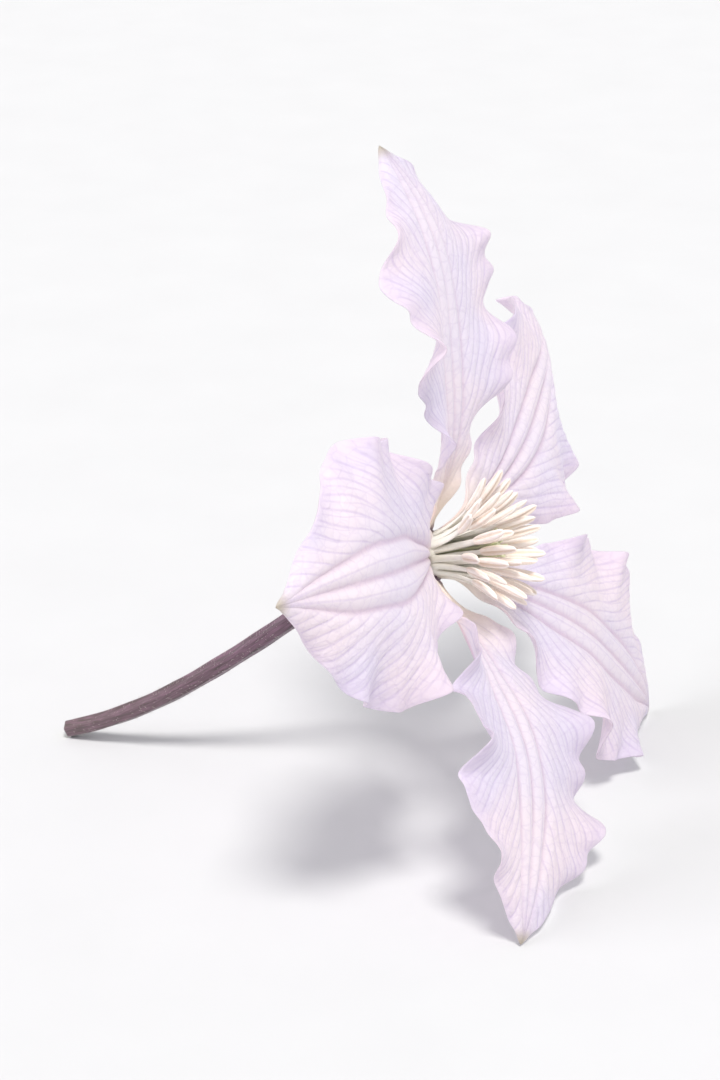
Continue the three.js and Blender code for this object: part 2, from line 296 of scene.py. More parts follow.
# %% [markdown]
# ## The shape of a tepal
#
# A tepal starts as a narrow claw, swells to its widest past the middle, and is drawn in to a point.
# Its midrib first points forward, so that the flower makes a shallow funnel, then flattens and at
# the tip curls back. Each of the five has its own small turns and waves, as in a real flower, where
# each blade unfolded at its own pace.
#
# A flat outline bent by a lattice would give a like blade. Here one formula gives the width and
# three angles steer the midrib, because a few numbers are easier to match to a real flower.
#
# s runs from 0 at the claw to 1 at the tip, and q from -1 to 1 between the margins.

# %% The five tepals
# Angles are in degrees and lengths in millimetres. lift, spread and curl steer the midrib, cup and
# roll hollow the blade, sway draws its tip aside, and phase shifts its waves.
TEPALS = [
    dict(azimuth=89, length=47, width=29, lift=38, spread=18, curl=-30,
         twist=5, cup=0.2, roll=-0.5, sway=-2, phase=0.3),
    dict(azimuth=163, length=44, width=29.5, lift=36, spread=12, curl=-38,
         twist=-6, cup=-0.1, roll=-0.7, sway=2, phase=1.9),
    dict(azimuth=233.2, length=46, width=28, lift=40, spread=20, curl=-18,
         twist=7, cup=0.25, roll=-0.3, sway=-2, phase=3.1),
    dict(azimuth=310, length=45.5, width=28.5, lift=38, spread=16, curl=-24,
         twist=-5, cup=0.1, roll=-0.5, sway=1, phase=4.4),
    dict(azimuth=17, length=43, width=28, lift=34, spread=10, curl=-34,
         twist=6, cup=-0.1, roll=-0.6, sway=2, phase=5.5),
]
CLAW_RADIUS = 3.4
CLAW_HEIGHT = 0.3
CLAW_HALF_WIDTH = 1
TIP_HALF_WIDTH = 0.4
# The blade is widest where s to this power is a half.
WIDEST_POWER = 1.36
# The outline is a half wave to the first power. The second adds to it towards the tip, which draws
# the tip in.
BLADE_POWER = 0.93
TIP_POWER = 0.25
# The tip is rounded off from here on, down to a blunt end.
TIP_FROM = 0.96
TIP_BLUNTNESS = 0.03
MIDRIB_POINTS = 401


def midrib_angle(tepal, s):
    """How far forward the midrib points at s, in radians."""
    back = 1 - s
    return np.radians(tepal["lift"] * back ** 2 + 2 * tepal["spread"] * s * back + tepal["curl"] * s ** 2)


def midrib(tepal, s):
    """The midrib's distance from the axis and its height along it. Below s = 0 it runs straight on."""
    steps = np.linspace(0, 1, MIDRIB_POINTS)
    angle = midrib_angle(tepal, (steps[1:] + steps[:-1]) / 2)
    stride = tepal["length"] / len(angle)
    out = CLAW_RADIUS + np.concatenate([[0], np.cumsum(np.cos(angle))]) * stride
    forward = CLAW_HEIGHT + np.concatenate([[0], np.cumsum(np.sin(angle))]) * stride
    root = np.minimum(s, 0) * tepal["length"]
    start = math.radians(tepal["lift"])
    radius = np.interp(s, steps, out) + root * math.cos(start)
    height = np.interp(s, steps, forward) + root * math.sin(start)
    return radius, height


def half_width(tepal, s):
    """Half the width of the blade at s, in millimetres."""
    s = np.maximum(s, 0)
    swell = np.maximum(np.sin(np.pi * s ** WIDEST_POWER), 0)
    body = tepal["width"] / 2 * swell ** (BLADE_POWER + TIP_POWER * s ** 4)
    rounded = np.sqrt(np.clip(1 - ((s - TIP_FROM) / (1 - TIP_FROM)) ** 2, TIP_BLUNTNESS, 1))
    point = rounded * (s > TIP_FROM) + (s <= TIP_FROM)
    return np.hypot(body, (CLAW_HALF_WIDTH * (1 - s) ** 3 + TIP_HALF_WIDTH) * point)


print("widest at s =", round(0.5 ** (1 / WIDEST_POWER), 2))

# %% [markdown]
# ## Waves, pleats and frill
#
# The margin grew faster than the blade, so it had to fold: it runs in large waves of about 13 mm,
# with smaller ones between them, and is softly crimped every 4 mm or so at its very edge. Three ribs
# run along the middle as pleats. All of it is a height over the flat blade, so it is simply added up.
# A displacement texture could raise waves as well, but wouldn't keep them to the margin.

# %% Waves of the margin
RUFFLE_HEIGHT = 1.9
RUFFLES = 3.6
RUFFLE_SHIFT = 1.1
SMALL_RUFFLE_SHARE = 0.35
SMALL_RUFFLE_RATE = 2.3
FRILL_HEIGHT = 0.55
FRILL_PITCH = 3.8
FRILL_SHIFT = 1.5
LOBE_SHARE = 0.035
LOBE_TURN = 27
SCALLOP_DEPTH = 0.32
SCALLOP_PITCH = 5.2
# The waves, and then the crimps and scallops, keep to the margin by these powers of q.
RUFFLE_POWER = 3
EDGE_POWER = 6


def wander(turn, seed):
    """An uneven, rounded wave between -1 and 1."""
    return (np.sin(turn + seed) + 0.7 * np.sin(0.61 * turn + 2.3 * seed) + 0.2 * np.sin(1.73 * turn)) / 1.9


def ruffle(tepal, s, q):
    """The large waves of the margin, which die away towards the ribs."""
    side = np.sign(q)
    turn = 2 * np.pi * RUFFLES * s + tepal["phase"] + side * RUFFLE_SHIFT
    wave = np.sin(turn) + SMALL_RUFFLE_SHARE * np.sin(SMALL_RUFFLE_RATE * turn + side)
    return RUFFLE_HEIGHT * np.abs(q) ** RUFFLE_POWER * np.sin(np.pi * np.maximum(s, 0)) ** 0.7 * wave


def frill(tepal, s, q):
    """The fine crimping of the margin's last few millimetres."""
    turn = 2 * np.pi * s * tepal["length"] / FRILL_PITCH + FRILL_SHIFT * np.sign(q)
    height = FRILL_HEIGHT * np.abs(q) ** EDGE_POWER * np.sin(np.pi * np.maximum(s, 0)) ** 0.4
    return height * wander(turn, tepal["phase"])


def margin(tepal, s, q):
    """Half the width with the broad lobes and the small scallops of the margin."""
    lobe = LOBE_SHARE * np.sin(LOBE_TURN * s + tepal["phase"] * (2 + np.sign(q)))
    turn = 2 * np.pi * s * tepal["length"] / SCALLOP_PITCH + np.sign(q)
    wave = 0.5 + 0.5 * wander(turn, tepal["phase"] + 2)
    inwards = np.abs(q) ** EDGE_POWER * np.sin(np.pi * np.maximum(s, 0)) * wave
    return half_width(tepal, s) * (1 + lobe) - SCALLOP_DEPTH * inwards


print("crimps along one margin:", round(TEPALS[0]["length"] / FRILL_PITCH))

# %% A point of the blade
RIBS = (-0.23, 0, 0.23)
RIB_DEPTH = 0.6
RIB_WIDTH = 0.07
# The ribs are at full depth where half the blade's width is at least this many millimetres.
RIB_FULL_AT = 9
# Low slanting creases over the whole blade, in radians along it and across it.
CREASE_HEIGHT = 0.5
CREASE_TURN = 9
CREASE_SLANT = 2.2
# The claw is hollowed like a gutter.
CLAW_HOLLOW = 0.55


def blade_points(tepal, s, q):
    """Points of the blade's middle surface in the head's frame, in millimetres."""
    radius, height = midrib(tepal, s)
    angle = midrib_angle(tepal, s)
    turn = math.radians(tepal["twist"]) * s
    half = margin(tepal, s, q)
    hollow = CLAW_HOLLOW * (1 - s) ** 2 + 2 * tepal["cup"] * s * (1 - s) + tepal["roll"] * s ** 2
    ribs = sum(np.exp(-(((q - rib) / RIB_WIDTH) ** 2)) for rib in RIBS)
    pleat = RIB_DEPTH * np.minimum(1, half / RIB_FULL_AT) * ribs
    crease_turn = CREASE_TURN * s + CREASE_SLANT * q + tepal["phase"]
    crease = CREASE_HEIGHT * np.sin(np.pi * np.maximum(s, 0)) * np.sin(crease_turn)
    across = half * q * (1 - (hollow * q) ** 2 / 6)
    rise = half * hollow * q * q / 2 - pleat + crease + ruffle(tepal, s, q) + frill(tepal, s, q)
    sideways = across * np.cos(turn) - rise * np.sin(turn) + tepal["sway"] * s * s
    front = across * np.sin(turn) + rise * np.cos(turn)
    out = radius - front * np.sin(angle)
    forward = height + front * np.cos(angle)
    azimuth = math.radians(tepal["azimuth"])
    x = out * math.cos(azimuth) - sideways * math.sin(azimuth)
    y = out * math.sin(azimuth) + sideways * math.cos(azimuth)
    return np.stack([x, y, forward], -1)


tips = [on_table(blade_points(tepal, np.array(1.0), np.array(0.0))) for tepal in TEPALS]
print("tips over the table in mm:", [round(float(tip[2]), 1) for tip in tips])

# %% [markdown]
# ## The course of the veins
#
# Side veins leave the outer ribs at a sharp angle, one every 2.6 mm along the blade, arch towards the
# margin, and fork on the way. Between them the blade is slightly quilted: the veins stand proud of
# the back and sink into the front.
#
# A vein's course is a number that is whole on each vein and changes evenly from one to the next.
# The mesh is too coarse for such thin lines, so the number itself is stored on its points, and
# the material draws the line wherever it is whole. A painted picture of veins would do from afar,
# but lines that are worked out stay sharp in a close view.

# %% Veins
VEIN_PITCH = 2.6
# A vein runs this far along the blade for each millimetre outwards, and less the further out it is.
VEIN_SLOPE = 2.1
VEIN_ARCH = 0.06
# How unevenly they are spaced, as shares of the pitch, near the ribs and further out.
VEIN_UNEVEN = 0.24
VEIN_WAVY = 0.12
# How far the veins of one side of the blade are shifted against the other's.
VEIN_SHIFT = 0.37
# A vein forks between these distances from the outer rib, in millimetres.
FORK_FROM = 1.5
FORK_TO = 6
QUILT_HEIGHT = 0.07
RIB_VEIN_WIDTH = 0.34
RIB_VEIN_HEIGHT = 0.14
# The quilting fades in over this many millimetres beyond the outer rib, and out over these shares of
# the blade towards its margin and its claw. The ribs fade out over this share towards the tip.
QUILT_FROM_RIB = 1.2
QUILT_TO_MARGIN = 0.2
QUILT_TO_CLAW = 1 / 6
RIB_TO_TIP = 0.2


def smooth_step(values, low, high):
    """From 0 at low to 1 at high, level at both ends."""
    share = np.clip((values - low) / (high - low), 0, 1)
    return share * share * (3 - 2 * share)


def vein_courses(tepal, s, q):
    """The courses of the side veins and of their forks, and the millimetres beyond the outer rib."""
    beyond = (np.abs(q) - RIBS[2]) * half_width(tepal, s)
    outside = np.maximum(beyond, 0)
    along = s * tepal["length"]
    side = np.sign(q)
    uneven = VEIN_UNEVEN * wander(0.35 * along + 3 * side, tepal["phase"])
    uneven = uneven + VEIN_WAVY * wander(1.1 * outside, 0.05 * along)
    slant = VEIN_SLOPE * outside - VEIN_ARCH * outside ** 2
    course = (along - slant) / VEIN_PITCH + uneven + VEIN_SHIFT * side
    fork = course - 0.5 * smooth_step(outside, FORK_FROM, FORK_TO)
    fork = fork - VEIN_WAVY / 2 * wander(0.9 * outside + along, tepal["phase"])
    return course, fork, beyond


def vein_relief(tepal, s, q):
    """How far the veins stand proud of the back, in millimetres."""
    course, _, beyond = vein_courses(tepal, s, q)
    shown = np.clip(beyond / QUILT_FROM_RIB, 0, 1) * np.clip((1 - np.abs(q)) / QUILT_TO_MARGIN, 0, 1)
    shown = shown * np.clip(s / QUILT_TO_CLAW, 0, 1)
    ribs = sum(np.exp(-(((q - rib) * half_width(tepal, s) / RIB_VEIN_WIDTH) ** 2)) for rib in RIBS)
    rib_relief = RIB_VEIN_HEIGHT * np.clip(ribs, 0, 1) * np.clip((1 - s) / RIB_TO_TIP, 0, 1)
    return QUILT_HEIGHT * shown * np.cos(2 * np.pi * course) + rib_relief


print("veins on one side of a blade:", round(TEPALS[0]["length"] / VEIN_PITCH))

# %% [markdown]
# ## Down
#
# Clematis is downy: the stalk and the backs of the ribs carry short soft hairs, and the styles long
# silky ones. Single hairs are made as thin tapering strands with three sides, because it is their
# outline against the light that makes a surface look soft. A hair particle system would look alike,
# but its strands would be lost when the flower is exported as a mesh.

# %% Material and helper for hairs
# Plant hairs are smooth and clear, so they glint like silk. Their tone changes over about 2 mm.
down, tree = new_material("silky down")
place = add_node(tree, "TexCoord", {}).outputs["Object"]
mottle = add_node(tree, "TexNoise", {"Vector": place, "Scale": 1 / (2 * MM)})
tone = add_node(tree, "Mix", {0: mottle, 6: "#DCD2CC", 7: "#F8F4EC"}, data_type="RGBA")
silk = add_node(tree, "BsdfPrincipled", {"Base Color": tone, "Roughness": 0.35, "IOR": 1.5})
add_node(tree, "OutputMaterial", {"Surface": silk})

HAIR_STEPS = np.array([0, 0.35, 0.7, 1.0])
HAIR_CORNERS = 3
# A hair is thinner at its tip than at its root by this share.
HAIR_TAPER = 0.85


def hairs(roots, directions, bends, lengths, thickness):
    """Points, faces and empty marks of tapering hairs. bends is how far each tip is drawn aside."""
    centre = (roots[:, None] + directions[:, None] * (lengths[:, None] * HAIR_STEPS)[..., None]
              + bends[:, None] * (HAIR_STEPS ** 2)[:, None])
    # Any fixed direction does here, as long as no hair points along it.
    side = unit(np.cross(directions, [0.31, 0.47, 0.83]))
    other = np.cross(directions, side)
    turns = circle(HAIR_CORNERS)
    ring = side[:, None] * np.cos(turns)[:, None] + other[:, None] * np.sin(turns)[:, None]
    radius = thickness / 2 * (1 - HAIR_TAPER * HAIR_STEPS)
    points = (centre[:, :, None] + ring[:, None] * radius[:, None, None]).reshape(-1, 3)
    count = len(HAIR_STEPS) * HAIR_CORNERS
    one = grid_faces(len(HAIR_STEPS), HAIR_CORNERS, ring=True).tolist()
    one += [list(range(HAIR_CORNERS))[::-1], list(range(count - HAIR_CORNERS, count))]
    faces = [[start + i for i in face] for start in range(0, len(points), count) for face in one]
    return points, faces, np.zeros_like(points)


print("one hair is", len(HAIR_STEPS), "rings of", HAIR_CORNERS, "corners, closed at both ends")

# %% [markdown]
# ## The tepals' tissue
#
# A tepal is a living sheet about 0.4 mm thick: two thin skins with a little clear tissue between
# them. That gives the eye three things: a soft sheen from the waxy cells of the skin, light that
# comes through from behind, and colour that is strongest in the veins and pales to cream at the
# claw. The pigment isn't even, so the lilac drifts between pink and blue. Subsurface scattering
# could carry the light as well, but it is made for thick bodies. For a thin sheet, a translucent
# shader beside the glossy one is nearer to the truth, and quicker.
#
# The colour is built up in layers, as a painter would glaze it: first the ground, then what differs
# across the blade and between its two faces, then the veins, and last the claw and the tip. Each
# layer is a share, which says where and how strongly it covers, and a colour. The cells below collect
# them, and a loop then lays them over the ground in that order.

# %% The ground colour of the tepals
tissue, tree = new_material("tepal tissue")
blade_mark = add_node(tree, "Attribute", {}, attribute_name="blade").outputs["Vector"]
spot = add_node(tree, "Attribute", {}, attribute_name="spot").outputs["Vector"]
vein_mark = add_node(tree, "Attribute", {}, attribute_name="vein").outputs["Vector"]
across_share, along_share, front_share = add_node(tree, "SeparateXYZ", {0: blade_mark}).outputs
course, fork, beyond = add_node(tree, "SeparateXYZ", {0: vein_mark}).outputs
across_mm = add_node(tree, "SeparateXYZ", {0: spot}).outputs[0]

# Pigment drifts between pink and blue over about 14 mm, and is broken up over about 2 mm.
drift = add_node(tree, "TexNoise", {"Vector": spot, "Scale": 1 / 14.3, "Detail": 3})
drift_share = add_node(tree, "MapRange", {0: drift, 1: 0.38, 2: 0.62}, interpolation_type="SMOOTHSTEP")
ground = add_node(tree, "Mix", {0: drift_share, 6: "#F8EDF3", 7: "#EAE5F5"}, data_type="RGBA")
flecks = add_node(tree, "TexNoise", {"Vector": spot, "Scale": 1 / 2, "Detail": 5})
fleck_share = add_node(tree, "MapRange", {0: flecks, 1: 0.35, 2: 0.75, 3: 0.0, 4: 0.35})
layers = [(fleck_share, "#F8F2F9")]
print("ground colour: pinkish lilac to bluish lilac")

# %% Bars, margin and back
# The bars beside the midrib are paler, the margin is a little deeper, and the back is duller.
middle = add_node(tree, "Math", {0: across_share}, operation="ABSOLUTE")
bar_share = add_node(tree, "MapRange", {0: middle, 1: 0.15, 2: 0.5, 3: 0.5, 4: 0.0})
edge_share = add_node(tree, "MapRange", {0: middle, 1: 0.7, 2: 1.0, 3: 0.0, 4: 0.4})
back_share = add_node(tree, "MapRange", {0: front_share, 3: 0.45, 4: 0.0})
layers += [(bar_share, "#F7F2F8"), (edge_share, "#DCCCE4"), (back_share, "#F1DFE8")]

# The ribs are mauve on the back, paler on the front, and fade before they meet at the tip.
from_middle = add_node(tree, "Math", {0: across_mm}, operation="ABSOLUTE")
from_outer = add_node(tree, "Math", {0: beyond}, operation="ABSOLUTE")
from_rib = add_node(tree, "Math", {0: from_middle, 1: from_outer}, operation="MINIMUM")
rib_line = add_node(tree, "MapRange", {0: from_rib, 1: 0.05, 2: 0.65, 3: 1.0, 4: 0.0},
                    interpolation_type="SMOOTHSTEP")
rib_strength = add_node(tree, "MapRange", {0: front_share, 3: 0.58, 4: 0.32})
rib_fade = add_node(tree, "MapRange", {0: along_share, 1: 0.7, 2: 1.0, 3: 1.0, 4: 0.25})
rib_share = add_node(tree, "Math", {0: rib_line, 1: rib_strength}, operation="MULTIPLY")
rib_share = add_node(tree, "Math", {0: rib_share, 1: rib_fade}, operation="MULTIPLY")
layers.append((rib_share, "#BC90B4"))
print("rib lines are 1.3 mm wide, fading out")

# %% Veins in colour
# The veins run so slantwise that they lie this much closer together than along the blade.
VEIN_CLOSER = 1.9
# The distance from the nearest whole course, turned to millimetres, gives each line its width.
VEIN_LINES = {"main vein": dict(course=course, half_width=0.2, strength=0.36),
              "fork": dict(course=fork, half_width=0.14, strength=0.24)}
lines = []
for vein in VEIN_LINES.values():
    nearest = add_node(tree, "Math", {0: vein["course"]}, operation="ROUND")
    off = add_node(tree, "Math", {0: vein["course"], 1: nearest}, operation="SUBTRACT")
    off = add_node(tree, "Math", {0: off}, operation="ABSOLUTE")
    off_mm = add_node(tree, "Math", {0: off, 1: VEIN_PITCH / VEIN_CLOSER}, operation="MULTIPLY")
    lines.append(add_node(tree, "MapRange", {
        0: off_mm, 1: 0.02, 2: vein["half_width"], 3: vein["strength"], 4: 0.0},
        interpolation_type="SMOOTHSTEP"))
veins = add_node(tree, "Math", {0: lines[0], 1: lines[1]}, operation="MAXIMUM")
# They start at the outer ribs, end just before the margin, and are stronger in some places.
for fade in (
    {0: beyond, 1: 0.0, 2: 0.9},
    {0: middle, 1: 0.88, 2: 0.98, 3: 1.0, 4: 0.0},
    {0: flecks, 1: 0.3, 2: 0.65, 3: 0.4, 4: 1.0},
):
    veins = add_node(tree, "Math", {0: veins, 1: add_node(tree, "MapRange", fade)}, operation="MULTIPLY")
# One thin straight vein runs along each bar, halfway between the midrib and the outer rib.
halfway = add_node(tree, "Math", {0: from_middle, 1: beyond}, operation="ADD")
halfway = add_node(tree, "Math", {0: halfway}, operation="ABSOLUTE")
bar_vein = add_node(tree, "MapRange", {0: halfway, 1: 0.05, 2: 0.3, 3: 0.2, 4: 0.0},
                    interpolation_type="SMOOTHSTEP")
veins = add_node(tree, "Math", {0: veins, 1: bar_vein}, operation="MAXIMUM")

# A net of the finest veins joins them, in meshes of about 0.9 mm, drawn coarse enough to show.
bend = add_node(tree, "TexNoise", {"Vector": spot, "Scale": 1 / 1.11}).outputs["Color"]
bent = add_node(tree, "Mix", {0: 0.3, 4: spot, 5: bend}, data_type="VECTOR")
net = add_node(tree, "TexVoronoi", {"Vector": bent, "Scale": 1 / 0.91}, feature="DISTANCE_TO_EDGE")
net_line = add_node(tree, "MapRange", {0: net, 1: 0.0, 2: 0.1, 3: 0.15, 4: 0.0})
layers += [(veins, "#A890CA"), (net_line, "#B7A3D2")]
print("vein lines:", list(VEIN_LINES), "bar vein, net")

# %% Claw and tip, and all layers together
# The claw pales to cream on the front and to a pinkish cream on the back.
claw = add_node(tree, "Mix", {0: front_share, 6: "#FAE4D8", 7: "#FAF2E4"}, data_type="RGBA")
claw_share = add_node(tree, "MapRange", {0: along_share, 1: 0.03, 2: 0.26, 3: 0.92, 4: 0.0},
                      interpolation_type="SMOOTHSTEP")
# The foot is flushed with the purple of the receptacle, which it grew on.
foot_share = add_node(tree, "MapRange", {0: along_share, 1: -0.006, 2: 0.022, 3: 0.75, 4: 0.0},
                      interpolation_type="SMOOTHSTEP")
# The very tip is a small olive-green point.
tip_share = add_node(tree, "MapRange", {0: along_share, 1: 0.955, 2: 1.0, 3: 0.0, 4: 0.7},
                     interpolation_type="SMOOTHSTEP")
layers += [(claw_share, claw), (foot_share, "#8F6A80"), (tip_share, "#B9B08C")]

tepal_colour = ground
for share, colour in layers:
    tepal_colour = add_node(tree, "Mix", {0: share, 6: tepal_colour, 7: colour}, data_type="RGBA")
print("layers over the ground:", len(layers))

# %% The tepals' skin
# Crepe wrinkles of about 0.9 mm, the sunken veins, and the skin's domed cells, which break up its
# gloss. They are about 0.04 mm wide in truth, and are drawn at 0.2 mm, so that they show.
crepe = add_node(tree, "TexNoise", {"Vector": spot, "Scale": 1 / 0.91, "Detail": 3, "Distortion": 0.6})
crepe_bump = add_node(tree, "Bump", {"Height": crepe, "Strength": 0.5, "Distance": 0.3 * MM})
sunken = add_node(tree, "Math", {0: veins, 1: net_line}, operation="ADD")
vein_bump = add_node(tree, "Bump", {
    "Height": sunken, "Strength": 0.5, "Distance": 0.15 * MM, "Normal": crepe_bump}, invert=True)
cells = add_node(tree, "TexVoronoi", {"Vector": spot, "Scale": 1 / 0.2})
cell_bump = add_node(tree, "Bump", {
    "Height": cells, "Strength": 0.3, "Distance": 0.05 * MM, "Normal": vein_bump})
skin = add_node(tree, "BsdfPrincipled", {
    "Base Color": tepal_colour, "Roughness": 0.48, "IOR": 1.42, "Specular IOR Level": 0.4,
    "Sheen Weight": 0.2, "Sheen Roughness": 0.4, "Normal": cell_bump})
light_through = add_node(tree, "Mix", {0: 0.5, 6: tepal_colour, 7: "#FFFFFF"}, data_type="RGBA")
through = add_node(tree, "BsdfTranslucent", {"Color": light_through, "Normal": cell_bump})
both = add_node(tree, "MixShader", {0: 0.46, 1: skin, 2: through})
add_node(tree, "OutputMaterial", {"Surface": both})
print("nodes in the tepal tissue:", len(tree.nodes))

# %% [markdown]
# ## Making the tepals
#
# Each blade is one closed sheet: the middle surface moved to both sides by half its thickness,
# which thins to the margin and thickens at the root, where it reaches into the receptacle. The rows
# of points lie a little closer together towards the tip, and the columns towards the margins, where
# the frill is. The back gets its down, thickest along the ribs near the claw.
#
# A Solidify modifier would thicken a single sheet too. Here the two faces differ, because the veins
# stand out more on the back than they sink into the front, so both are worked out.

# %% Sizes and down of the tepals
BLADE_ROWS = 190
BLADE_COLUMNS = 121
ROOT_ROWS = 4
ROOT_DEPTH = 0.7
ROOT_THICKNESS = 0.3
BLADE_THICKNESS = 0.34
EDGE_THICKNESS = 0.07
# The front follows the relief of the veins on the back by this share.
SINK_SHARE = 0.6
# The columns follow a sine up to this angle, which crowds them towards the margins.
COLUMN_CROWDING = 1.25
# The rows lie closer together towards the tip by this share.
ROW_CROWDING = 0.25
# The marks of one blade are this far from those of the next, so that no two look alike.
MARKS_APART = 20
# The sheet thins out where the blade's half width is less than this many millimetres.
THIN_BELOW = 0.8
# The thickening of the root dies away over this share of the blade's length.
ROOT_REACH = 0.05
BLADE_HAIRS = 420
BLADE_HAIR_THICKNESS = 0.024
BLADE_HAIR_LENGTHS = (0.25, 0.5)
# How far along the blade the down reaches, and how far it strays from a rib, as a share of the half
# width. Then how steeply the hairs rise, how unevenly they lie, and how far their tips are bent.
DOWN_REACH = 0.8
DOWN_STRAY = 0.06
DOWN_RISE = 0.6
DOWN_UNEVEN = 0.25
DOWN_BEND = 0.05

scatter = np.random.default_rng(5)


def blade_down(back, normal, s, q):
    """Hairs on the back of a blade, most of them on the ribs."""
    row = (BLADE_ROWS * DOWN_REACH * scatter.uniform(0, 1, BLADE_HAIRS) ** 1.5).astype(int) + ROOT_ROWS
    wanted = scatter.choice(RIBS, BLADE_HAIRS) + scatter.normal(0, DOWN_STRAY, BLADE_HAIRS)
    column = np.abs(q[0][None] - wanted[:, None]).argmin(1)
    along = unit(back[row + 1, column] - back[row, column])
    outward = -normal[row, column]
    uneven = scatter.normal(0, DOWN_UNEVEN, (BLADE_HAIRS, 3))
    return hairs(back[row, column], unit(DOWN_RISE * outward + along + uneven), DOWN_BEND * outward,
                 scatter.uniform(*BLADE_HAIR_LENGTHS, BLADE_HAIRS), BLADE_HAIR_THICKNESS)


print("thickness of a blade in mm:", round(BLADE_THICKNESS + EDGE_THICKNESS, 2), "with", BLADE_HAIRS, "hairs")

# %% Make the tepals


def make_tepal(number, tepal):
    """One blade with its down, and its marks for the material."""
    u = np.linspace(0, 1, BLADE_ROWS - ROOT_ROWS)
    root = -ROOT_DEPTH / tepal["length"]
    s = np.concatenate([np.linspace(root, root / ROOT_ROWS, ROOT_ROWS), u * (1 + ROW_CROWDING * (1 - u))])
    q = np.sin(np.linspace(-COLUMN_CROWDING, COLUMN_CROWDING, BLADE_COLUMNS)) / math.sin(COLUMN_CROWDING)
    s, q = np.meshgrid(s, q, indexing="ij")
    middle = blade_points(tepal, s, q)
    normal = unit(np.cross(np.gradient(middle, axis=0), np.gradient(middle, axis=1)))
    proud = vein_relief(tepal, s, q)
    narrow = np.clip(half_width(tepal, s) / THIN_BELOW, 0, 1)
    sheet = BLADE_THICKNESS * np.sqrt(np.maximum(1 - q ** 10, 0)) * narrow
    foot = ROOT_THICKNESS * np.exp(-(np.maximum(s, 0) / ROOT_REACH) ** 2) * (1 - q ** 4)
    thickness = EDGE_THICKNESS + sheet + foot
    front = middle + normal * (thickness / 2 - SINK_SHARE * proud)[..., None]
    back = middle - normal * (thickness / 2 + proud)[..., None]
    count = BLADE_ROWS * BLADE_COLUMNS
    index = np.arange(count).reshape(BLADE_ROWS, BLADE_COLUMNS)
    rim = np.concatenate([index[0, :-1], index[:-1, -1], index[-1, :0:-1], index[:0:-1, 0]])
    faces = np.concatenate([
        grid_faces(BLADE_ROWS, BLADE_COLUMNS, flip=True),
        grid_faces(BLADE_ROWS, BLADE_COLUMNS, start=count),
        np.stack([rim, np.roll(rim, -1), np.roll(rim, -1) + count, rim + count], -1),
    ]).tolist()
    sheets = np.concatenate([front.reshape(-1, 3), back.reshape(-1, 3)])
    sides = [np.stack([q, s, side * np.ones_like(s)], -1).reshape(-1, 3) for side in (1, 0)]
    apart = MARKS_APART * number * np.ones_like(s)
    spot = np.stack([q * half_width(tepal, s), s * tepal["length"], apart], -1).reshape(-1, 3)
    vein = np.stack(vein_courses(tepal, s, q), -1).reshape(-1, 3)
    points, faces, blade, owners = gather([
        (sheets, faces, np.concatenate(sides)),
        blade_down(back, normal, s, q),
    ])
    no_marks = np.zeros((len(points) - len(sheets), 3))
    # The back's spots are moved aside as well, because the pigment differs between the faces.
    marks = {"blade": blade, "spot": np.concatenate([spot, spot + (0, 0, MARKS_APART * 0.3), no_marks]),
             "vein": np.concatenate([vein, vein, no_marks])}
    return new_piece(f"tepal_{number}_blade", on_table(points), faces, f"tepal_{number}",
                     [tissue, down], owners, marks)


for number, tepal in enumerate(TEPALS, 1):
    make_tepal(number, tepal)

# %% [markdown]
# ## Slender parts
#
# Stamens, styles and the pedicel are all drawn out along a curved line, with a section that changes
# on the way. One function sets such sections along a line, and a second one along the head's own
# axis, as on a lathe. A third works out the line of a stamen or style, which starts beside the axis
# and leans more and more outwards. A curve with a bevel gives a round stalk in one step, but its
# section can't change from a flat filament into an anther.

# %% Helpers for slender parts
STALK_POINTS = 101


def sweep(centres, sides, ups, x, y):
    """Points and faces of rings round a line, closed at both ends. x and y are each ring's corners."""
    rows, columns = x.shape
    points = centres[:, None] + sides[:, None] * x[..., None] + ups[:, None] * y[..., None]
    # Where the corners run clockwise round the line, the faces have to turn over to look outwards.
    clockwise = np.cross(sides[0], ups[0]) @ (centres[1] - centres[0]) < 0
    faces = grid_faces(rows, columns, flip=clockwise, ring=True).tolist()
    for end, step in ((0, -1), (rows - 1, 1)):
        faces.append([end * columns + i for i in range(columns)][::-step if clockwise else step])
    return points.reshape(-1, 3), faces


def turned(radius, height):
    """Points and faces of a body turned round the head's axis. Each row of radius is one ring."""
    rows, columns = radius.shape
    x_axis, y_axis, z_axis = (np.tile(axis, (rows, 1)) for axis in np.eye(3))
    around = circle(columns)
    return sweep(z_axis * height, x_axis, y_axis, radius * np.cos(around), radius * np.sin(around))


def stalk_line(azimuth, foot, height, lean, splay, length, at):
    """The middle line at shares of its length, and the directions beside it and out from it."""
    steps = np.linspace(0, 1, STALK_POINTS)
    angle = np.radians(lean + (splay - lean) * (steps[1:] + steps[:-1]) / 2)
    out = foot + np.concatenate([[0], np.cumsum(np.sin(angle))]) * length / len(angle)
    up = height + np.concatenate([[0], np.cumsum(np.cos(angle))]) * length / len(angle)
    angle = np.radians(lean + (splay - lean) * at)
    outward = np.array([math.cos(azimuth), math.sin(azimuth), 0])
    aside = np.array([-math.sin(azimuth), math.cos(azimuth), 0])
    axis = np.array([0, 0, 1.0])
    centres = np.interp(at, steps, out)[:, None] * outward + np.interp(at, steps, up)[:, None] * axis
    across = np.cos(angle)[:, None] * outward - np.sin(angle)[:, None] * axis
    return centres, np.broadcast_to(aside, centres.shape), across


def draws(seed):
    """The row of numbers between 0 and 1 that the solids were scattered with, the same in every run."""
    while True:
        seed = (seed * 1664525 + 1013904223) % 2 ** 32
        yield seed / 2 ** 32


shares = draws(61)
print("faces of a sweep of 5 rings with 8 corners:", 4 * 8 + 2)

